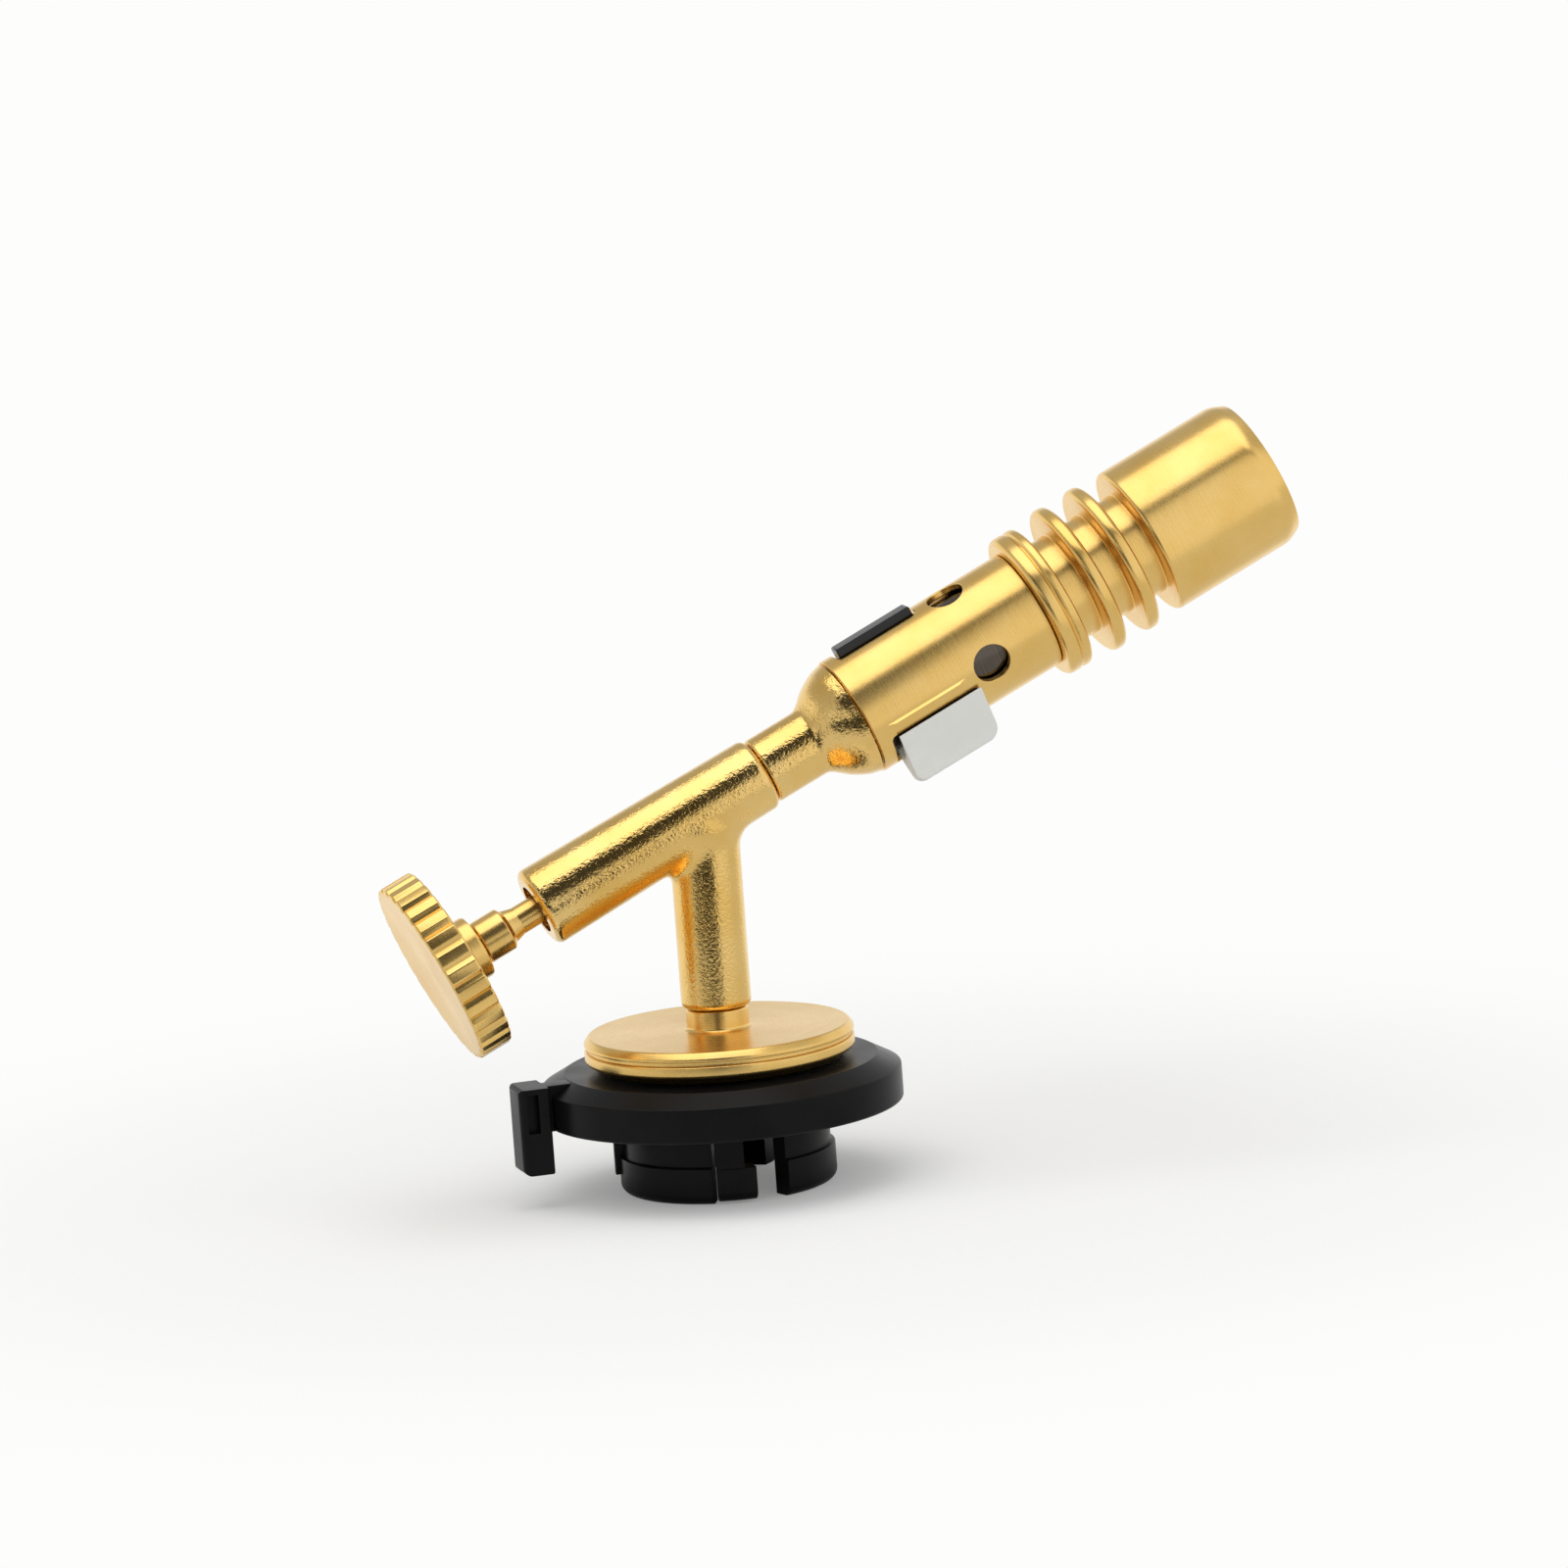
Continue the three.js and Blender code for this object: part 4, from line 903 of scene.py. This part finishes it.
def field_normals(mesh, field):
    """Sets exact normals from a distance field wherever a face lies on its surface."""
    points = mesh_points(mesh)
    slope = field_slope(field, points)
    on_surface = np.abs(field(points)) < 0.02
    corner_normals = [Vector(normal.vector) for normal in mesh.corner_normals]
    for polygon in mesh.polygons:
        for loop in polygon.loop_indices:
            vertex = mesh.loops[loop].vertex_index
            normal = Vector(slope[vertex]).normalized()
            if on_surface[vertex] and normal.dot(polygon.normal) > 0.8:
                corner_normals[loop] = normal
    mesh.normals_split_custom_set([normal[:] for normal in corner_normals])


def valve_body():
    radius = valve.knob_end_radius + valve.margin
    back, front = (burner @ Vector((0, 0, station * MM)) / MM for station in (knob_end, burner_end))
    low = (back.x - radius, -radius, stem_foot - valve.margin)
    high = (front.x + radius, radius, front.z + radius)
    body = new_object("valve_casting", *surface_net(valve_field, low, high, valve.cell), row)
    recess_floor = knob_end + valve.recess_depth
    thread_end = recess_floor + valve.thread_length
    outlet_floor = burner_end - valve.outlet_depth
    passage_start = outlet_floor - valve.passage_length
    bores = turned("bores", [
        (0, knob_end - overrun), (valve.recess_radius, knob_end - overrun),
        (valve.recess_radius, recess_floor), (valve.thread_radius, recess_floor),
        (valve.thread_radius, thread_end), (valve.needle_room, thread_end),
        (valve.needle_room, passage_start), (valve.passage_radius, passage_start),
        (valve.passage_radius, outlet_floor), (valve.outlet_radius, outlet_floor),
        (valve.outlet_radius, burner_end + overrun), (0, burner_end + overrun),
    ], burner, 64)
    bore_top = spigot_top + gap + valve.washer + gap
    stem_bore = rod("stem_bore", valve.stem_bore, stem_foot - overrun, bore_top, row, 64)
    passage = rod("passage", disc.bore, bore_top - overrun, axis_height / MM, row, 32)
    cut(body, bores, stem_bore, passage)
    body.data.shade_smooth()
    body.data.set_sharp_from_angle(angle=radians(35))
    field_normals(body.data, valve_field)
    finish_piece(body, "torch", cast, "cast_brass", "valve_body")


def control_knob():
    samples = 24
    columns = knob.ridges * samples
    back = knob_face + knob.thickness
    hub_end = hub_front - knob.hub_inset
    bore = spindle.spigot_radius + gap
    bore_floor = hub_front - spindle.spigot_length - gap
    dish_radius = knob_radius - knob.dish_inset
    rim_start = knob_radius - knob.rim_width
    foot, foot_in = knob.hub_foot
    chamfer, chamfer_in = knob.hub_chamfer
    rim = filleted(rectangle(0, knob_radius, knob_face, back, (0, knob.round, knob.round, 0)), 4)[1:-1]
    profile = [
        (0, knob_face + knob.dish),
        (dish_radius - knob.dish_slope, knob_face + knob.dish * knob.dish_share),
        (dish_radius, knob_face + knob.dish_edge), *rim, (rim_start, back),
        (knob.hub_radius + foot, back), (knob.hub_radius + foot_in, back + foot_in),
        (knob.hub_radius, back + foot), (knob.hub_radius, hub_end - chamfer),
        (knob.hub_radius - chamfer_in, hub_end - chamfer_in), (knob.hub_radius - chamfer, hub_end),
        (bore, hub_end), (bore, bore_floor), (0, bore_floor),
    ]
    rings = []
    for column in range(columns):
        from_valley = abs(column % samples / samples - 0.5)
        depth = knob.ridge_depth * max(0, 1 - from_valley / knob.groove_share) ** knob.groove_power
        angle = 2 * pi * column / columns
        ring = []
        for radius, height in profile:
            shown = radius - depth * np.interp(radius, (rim_start, rim_start + knob.groove_fade), (0, 1))
            ring.append((shown * cos(angle), shown * sin(angle), height))
        rings.append(ring)
    body = skinned("knob_ridged", rings, burner, True)
    finish_piece(smooth(body, 32), "knob", satin, "satin_brass", "control_knob")


def valve_spindle():
    shoulder_back = spindle_back + spindle.spigot_length + gap - knob.hub_inset
    shoulder_front = shoulder_back + spindle.shoulder_length
    radius = shoulder_radius + spindle.shoulder_growth
    thread = knob_end + spindle.thread_start
    needle_seat = spindle_nose - spindle.needle_depth
    turned_piece("spindle_turned", [
        (0, spindle_back), (spindle.spigot_radius, spindle_back), (spindle.spigot_radius, shoulder_back),
        (radius, shoulder_back, spindle.shoulder_round), (radius, shoulder_front - spindle.chamfer, soft),
        (spindle.rod_radius + eased, shoulder_front + crisp, keen),
        (spindle.rod_radius, shoulder_front + spindle.cone_length, full), (spindle.rod_radius, thread),
        (spindle.thread_radius, thread, eased), (spindle.thread_radius, spindle_nose, eased),
        (spindle.needle_bore, spindle_nose), (spindle.needle_bore, needle_seat), (0, needle_seat),
    ], burner, 96, "knob", satin, "satin_brass", "valve_spindle")


# Jet dome, mixer barrel and air shutter


def jet_dome():
    neck_start = burner_end + seen_gap
    flare_start = seam - dome.flare_length
    rise = dome_radius - dome.neck_radius
    spots = [[dome.neck_radius + rise * r, flare_start + dome.flare_length * t] for r, t in dome.flare]
    cavity_floor = dome_front - dome.cavity_depth
    seat = dome_back + dome.seat_depth
    turned_piece("dome_cast", [
        (dome.bore, dome_back), (dome.spigot_radius, dome_back), (dome.spigot_radius, neck_start),
        (dome.neck_radius, neck_start, dome.neck_round), *curve_through(spots, 6),
        (spigot_fit, seam), (spigot_fit, dome_front), (spigot_fit - dome.wall, dome_front),
        (dome.cavity_radius, cavity_floor), (dome.seat_radius, cavity_floor),
        (dome.seat_radius, seat), (dome.bore, seat),
    ], burner, 160, "torch", cast, "cast_brass", "jet_dome")


def round_the_barrel(deg):
    return radians(deg) * barrel_radius


def window_opening(window):
    sides = (round_the_barrel(window.start), round_the_barrel(window.end))
    return (*sides, window.low, window.high, window.corner)


def air_holes(radius, hole_radius, first_deg):
    """Openings round a tube, each a square whose full fillets make a circle."""
    ends = (air_hole_station - hole_radius, air_hole_station + hole_radius)
    middles = [radians(deg) * radius for deg in around(barrel.holes, first_deg)]
    return [(middle - hole_radius, middle + hole_radius, *ends, hole_radius) for middle in middles]


def mixer_barrel():
    """Barrel with its two windows, its air holes and the line pressed beside the tab's window."""
    edge = round_the_barrel(tab_window.start) - barrel.round
    pressed = Sizes(
        us=[round_the_barrel(lip.start), round_the_barrel(lip.crest), edge],
        rises=[0, lip.rise, lip.edge_rise], corner=tab_window.corner + barrel.round,
        low=tab_window.low + lip.low, high=tab_window.high - lip.high, fade=lip.fade,
    )
    openings = [window_opening(tab_window), window_opening(grip_window)]
    openings += air_holes(barrel_radius, barrel.hole_radius, barrel.hole_first)
    ends = (barrel_back, barrel_front)
    tube = WrappedTube(barrel_radius, barrel.wall, *ends, barrel.round, -125, openings, pressed)
    finish_piece(tube.build("barrel_wall", burner), "torch", satin, "satin_brass", "mixer_barrel")


def stand_slot(stand):
    middle = radians(stand.rest) * sleeve_radius
    half = stand.thickness / 2 + gap
    return (middle - half, middle + half, stand.low - gap, stand.high + gap, keen)


def air_sleeve():
    """Sleeve with a slot for each stand and with air holes that come under the barrel's when it turns."""
    openings = [stand_slot(tab), stand_slot(grip)]
    openings += air_holes(sleeve_radius, sleeve.hole_radius, barrel.hole_first + shutter_turn)
    ends = (sleeve_back, sleeve_front)
    tube = WrappedTube(sleeve_radius, sleeve.wall, *ends, sleeve.round, -110, openings)
    # The sleeve's very dark steel colour is painted shade for the inside of the barrel behind the air holes.
    finish_piece(tube.build("sleeve_wall", burner), "air_shutter", steel, "steel", "air_sleeve")


def stand_foot(stand, place):
    """Foot inside the sleeve that a tab or grip stands on."""
    half = stand.foot_width / 2
    top = sqrt((sleeve_radius - sleeve.wall) ** 2 - half**2) - gap
    return block("foot", (top - sleeve.foot_depth, -half, stand.low), (top, half, stand.high), place)


def upright_plate(name, corners, thickness, place):
    """Plate with a filleted outline in X and Z of a frame, centred on its Y."""
    on_edge = place @ Matrix.Rotation(pi / 2, 4, "X")
    return prism(name, corners, -thickness / 2, thickness / 2, on_edge)


def tab_face(place, low, high):
    """Wedge between the blade and a flat face that covers the window from outside the barrel."""
    inner = barrel_radius + tab.face_clearance
    directions = np.linspace(tab.rest, tab.face_top, tab.face_steps + 1)
    turns = [Matrix.Rotation(radians(deg), 2) for deg in directions]
    corners = [turns[0] @ Vector((tab.reach, y)) for y in (-tab.thickness / 2, 0)]
    corners += [turn @ Vector((inner, 0)) for turn in turns]
    corners.append(corners[-1] * (1 + tab.face_edge / inner))
    wedge = prism("tab_wedge", corners, low, high, burner)
    outline = rectangle(0, tab.reach, low, high, (0, tab.corner, tab.corner, 0))
    return bevelled(common(wedge, upright_plate("tab_outline", outline, barrel_radius * 4, place)), crisp)


def air_tab():
    place = turn_z(burner, tab.rest)
    clear = barrel_radius + gap
    top = tab.high + tab.overhang
    blade = upright_plate("tab_blade", [
        (stand_root, tab.low), (tab.reach, tab.low, tab.corner), (tab.reach, top, tab.corner),
        (clear, top, soft), (clear, tab.high, crisp), (stand_root, tab.high),
    ], tab.thickness, place)
    body = join(bevelled(blade, tab.edge_round, 3), stand_foot(tab, place), tab_face(place, tab.low, top))
    finish_piece(smooth(body), "air_shutter", grey, "grey_plastic", "air_tab")


def air_grip():
    place = turn_z(burner, grip.rest)
    outline = rectangle(stand_root, grip.reach, grip.low, grip.high, (0, grip.corner, grip.corner, 0))
    bar = bevelled(upright_plate("grip_bar", outline, grip.thickness, place), grip.edge_round, 3)
    body = join(bar, stand_foot(grip, place))
    finish_piece(smooth(body), "air_shutter", glossy_black, "black_plastic", "air_grip")


# Burner head and flame holder


def burner_head():
    fins = []
    for i in range(head.fins):
        back = shoulder_end + fin_gap + i * (head.fin_thickness + fin_gap)
        front = back + head.fin_thickness
        fins += [
            (head.core_radius, back, head.fillet), (fin_radius, back, head.fin_round),
            (fin_radius, front, head.fin_round), (head.core_radius, front, head.fillet),
        ]
    shoulder_back = barrel_front + seen_gap
    band_front = shoulder_end - head.band_from_front
    band_back = band_front - head.band_width
    seat = nozzle_bore - head.seat_width
    floor = nozzle_start + head.floor
    turned_piece("head_turned", [
        (head.throat_radius, head_back), (spigot_fit, head_back, soft), (spigot_fit, shoulder_back),
        (head.shoulder_radius, shoulder_back, head.shoulder_round),
        (head.shoulder_radius, band_back, crisp),
        (head.shoulder_radius - head.band_depth, (band_back + band_front) / 2, head.band_round),
        (head.shoulder_radius, band_front, crisp),
        (head.shoulder_radius, shoulder_end, head.band_from_front / 2),
        (head.core_radius, shoulder_end, head.fillet), *fins, (head.core_radius, nozzle_start, head.fillet),
        (head.nozzle_radius, nozzle_start, head.nozzle_back_round),
        (head.nozzle_radius, mouth - head.lip_length, head.lip_round),
        (head.nozzle_radius - head.lip_inset, mouth, soft), (nozzle_bore, mouth, head.mouth_round),
        (nozzle_bore, holder_back - gap), (seat, holder_back - gap), (seat, floor, eased),
        (head.throat_radius, floor, keen),
    ], burner, 192, "torch", satin, "satin_brass", "burner_head")


def flame_holder():
    r = holder_radius
    plate = prism("holder_plate", rectangle(-r, r, -r, r, r), holder_back, holder_front, burner, 32)
    ends = (holder_back - overrun, holder_front + overrun)
    tools = [
        rod("hole", holder.hole_radius, *ends, turn_z(burner, deg, circle), 24)
        for count, circle in holder.rings for deg in around(count)
    ]
    finish_piece(smooth(cut(plate, *tools)), "torch", steel, "steel", "flame_holder")


bayonet_base()
base_screws()
mounting_disc()
gas_inlet()
valve_body()
control_knob()
valve_spindle()
jet_dome()
mixer_barrel()
air_sleeve()
air_tab()
air_grip()
burner_head()
flame_holder()


# Camera fitted on the ellipses and edges of the photograph


def photo_camera():
    azimuth, elevation, roll = (radians(deg) for deg in (-15.513, 9.611, 4.204))
    target = Vector((10.797, 0, 49.435)) * MM
    distance = 1379.76 * MM
    focal_pixels = 11303.4
    image_pixels = 1600
    data = bpy.data.cameras.new("photo_camera")
    data.sensor_width = 36
    data.lens = data.sensor_width * focal_pixels / image_pixels
    aim = Matrix.Translation(target) @ Matrix.Rotation(azimuth, 4, "Z")
    aim = aim @ Matrix.Rotation(pi / 2 - elevation, 4, "X") @ Matrix.Rotation(-roll, 4, "Z")
    bpy.context.scene.camera = in_scene("photo_camera", data, aim @ Matrix.Translation((0, 0, distance)))


# Pale floor and soft studio light. Pairs of numbers say where a change starts and where it is complete:
# distances in metres on the floor, shares of a direction in the world, degrees for the strips' edges

white = (0.98, 0.985, 0.975, 1)
levels = Sizes(dark=0.05, front_floor=0.72, wall=0.52, right=0.9)
floor_light = Sizes(
    shadow_lift=0.2, white=(0.06, 0.16), mirrored_white=(0.03, 0.05), front=(0.09, 0.04),
    strip=(58, 42), strip_start=(0.09, 0.16),
)
world_light = Sizes(
    front=(-0.2, -0.45), behind=(-0.1, 0.35), behind_top=(0.42, 0.22), right=(0.35, 0.75),
    right_top=(0.75, 0.45), wide_strip=(58, 34), wide_ramp=(0.02, 0.4), strip=(14, 6), top=(0.83, 0.77),
)
strip_azimuth = -16
overhead = Sizes(place=(-0.21, -0.107, 1), width=1.15, height=1.06, radiance=1.2)
side_card = Sizes(
    corners=((26, -150, -10), (300, -150, -10), (300, -150, 250), (26, -150, 214)), level=0.92,
)


def camera_strip(shader, edges):
    """How far a place or direction lies ahead and, from 0 to 1, in a strip of the studio at the camera."""
    side, depth, _ = shader.node("SeparateXYZ", {0: shader.coordinates})
    turn = radians(strip_azimuth)

    def along(x, y):
        return shader.maths("MULTIPLY_ADD", depth, y, shader.times(side, x))

    ahead = along(sin(turn), -cos(turn))
    aside = shader.maths("ABSOLUTE", along(cos(turn), sin(turn)))
    ratio = shader.maths("DIVIDE", aside, ahead)
    inside = shader.step(ratio, *(tan(radians(deg)) for deg in edges))
    return ahead, shader.times(inside, shader.step(ahead, 0, 0.02))


def studio_floor():
    """White paper: it keeps the object's shadow, and turns into plain white away from it."""
    half = 12 / MM
    floor = block("floor", (-half, -half, -10), (half, half, 0), row)
    shader = Shader(bpy.data.materials.new("floor_paper"))
    floor.data.materials.append(shader.looks({
        "Base Color": shader.tinted(shader.noise(900, 4, 0.6), 0.3, 0.7, (0.92,) * 3, (0.94,) * 3),
        "Roughness": 0.9,
        "Specular IOR Level": 0,
    }))
    path = shader.node("LightPath")
    mirrored = path["Is Glossy Ray"]
    seen = shader.maths("MAXIMUM", path["Is Camera Ray"], mirrored)
    seen = shader.maths("MAXIMUM", seen, path["Is Transmission Ray"])
    distance = shader.node("VectorMath", {0: shader.coordinates}, operation="LENGTH")["Value"]
    share = shader.level(shader.step(distance, *floor_light.white), floor_light.shadow_lift, 1)
    share = shader.level(mirrored, share, shader.step(distance, *floor_light.mirrored_white))
    ahead, strip = camera_strip(shader, floor_light.strip)
    dark = shader.times(strip, shader.step(ahead, *floor_light.strip_start), mirrored)
    depth = shader.node("SeparateXYZ", {0: shader.coordinates})["Y"]
    paper = shader.level(shader.step(depth, *floor_light.front), 1, levels.front_floor)
    strength = shader.level(dark, shader.level(mirrored, 1, paper), levels.dark)
    glow = shader.node("Emission", {"Color": white, "Strength": strength})[0]
    share = shader.maths("MAXIMUM", shader.times(share, seen), dark)
    blend = shader.node("MixShader", {0: share, 1: shader.end.outputs[0], 2: glow})[0]
    shader.feed(shader.tree.nodes["Material Output"], {"Surface": blend})


def studio_world():
    """White behind the object, pale walls, and a dark strip around the camera for reflections only."""
    world = bpy.data.worlds.new("studio")
    bpy.context.scene.world = world
    shader = Shader(world, "Background", "Generated")
    side, depth, height = shader.node("SeparateXYZ", {0: shader.coordinates})
    path = shader.node("LightPath")

    def region(value, edges, top):
        return shader.times(shader.step(value, *edges), shader.step(height, *top))

    front = region(depth, world_light.front, world_light.top)
    behind = region(depth, world_light.behind, world_light.behind_top)
    right = region(side, world_light.right, world_light.right_top)
    below = shader.step(height, *world_light.top)
    _, wide = camera_strip(shader, world_light.wide_strip)
    wide = shader.times(wide, below, shader.step(height, *world_light.wide_ramp))
    _, strip = camera_strip(shader, world_light.strip)
    strip = shader.maths("MAXIMUM", shader.times(strip, below), wide)
    glow = shader.level(right, levels.wall, levels.right)
    for share, shade in ((front, 1), (behind, 1), (shader.times(strip, path["Is Glossy Ray"]), levels.dark)):
        glow = shader.level(share, glow, shade)
    glow = shader.level(path["Is Camera Ray"], glow, 1)
    shader.looks({"Color": white, "Strength": glow})


def softbox():
    """Large soft lamp that looks straight down."""
    light = bpy.data.lights.new("overhead", "AREA")
    light.shape = "RECTANGLE"
    light.size = overhead.width
    light.size_y = overhead.height
    light.energy = overhead.radiance * pi * overhead.width * overhead.height
    in_scene("overhead", light, Matrix.Translation(overhead.place)).visible_camera = False


def reflector():
    """Pale card beside the nozzle that only reflections see."""
    card = new_object("side_card", side_card.corners, [(0, 1, 2, 3)], row)
    shader = Shader(bpy.data.materials.new("side_card_paper"))
    card.data.materials.append(shader.looks({
        "Base Color": (0, 0, 0, 1),
        "Specular IOR Level": 0,
        "Emission Color": (1, 1, 1, 1),
        "Emission Strength": shader.varied(shader.noise(90), side_card.level, 0.95, 1.05),
    }))
    for ray in ("camera", "shadow", "diffuse", "transmission"):
        setattr(card, "visible_" + ray, False)


photo_camera()
studio_floor()
studio_world()
softbox()
reflector()

bpy.context.scene.view_settings.view_transform = "Standard"
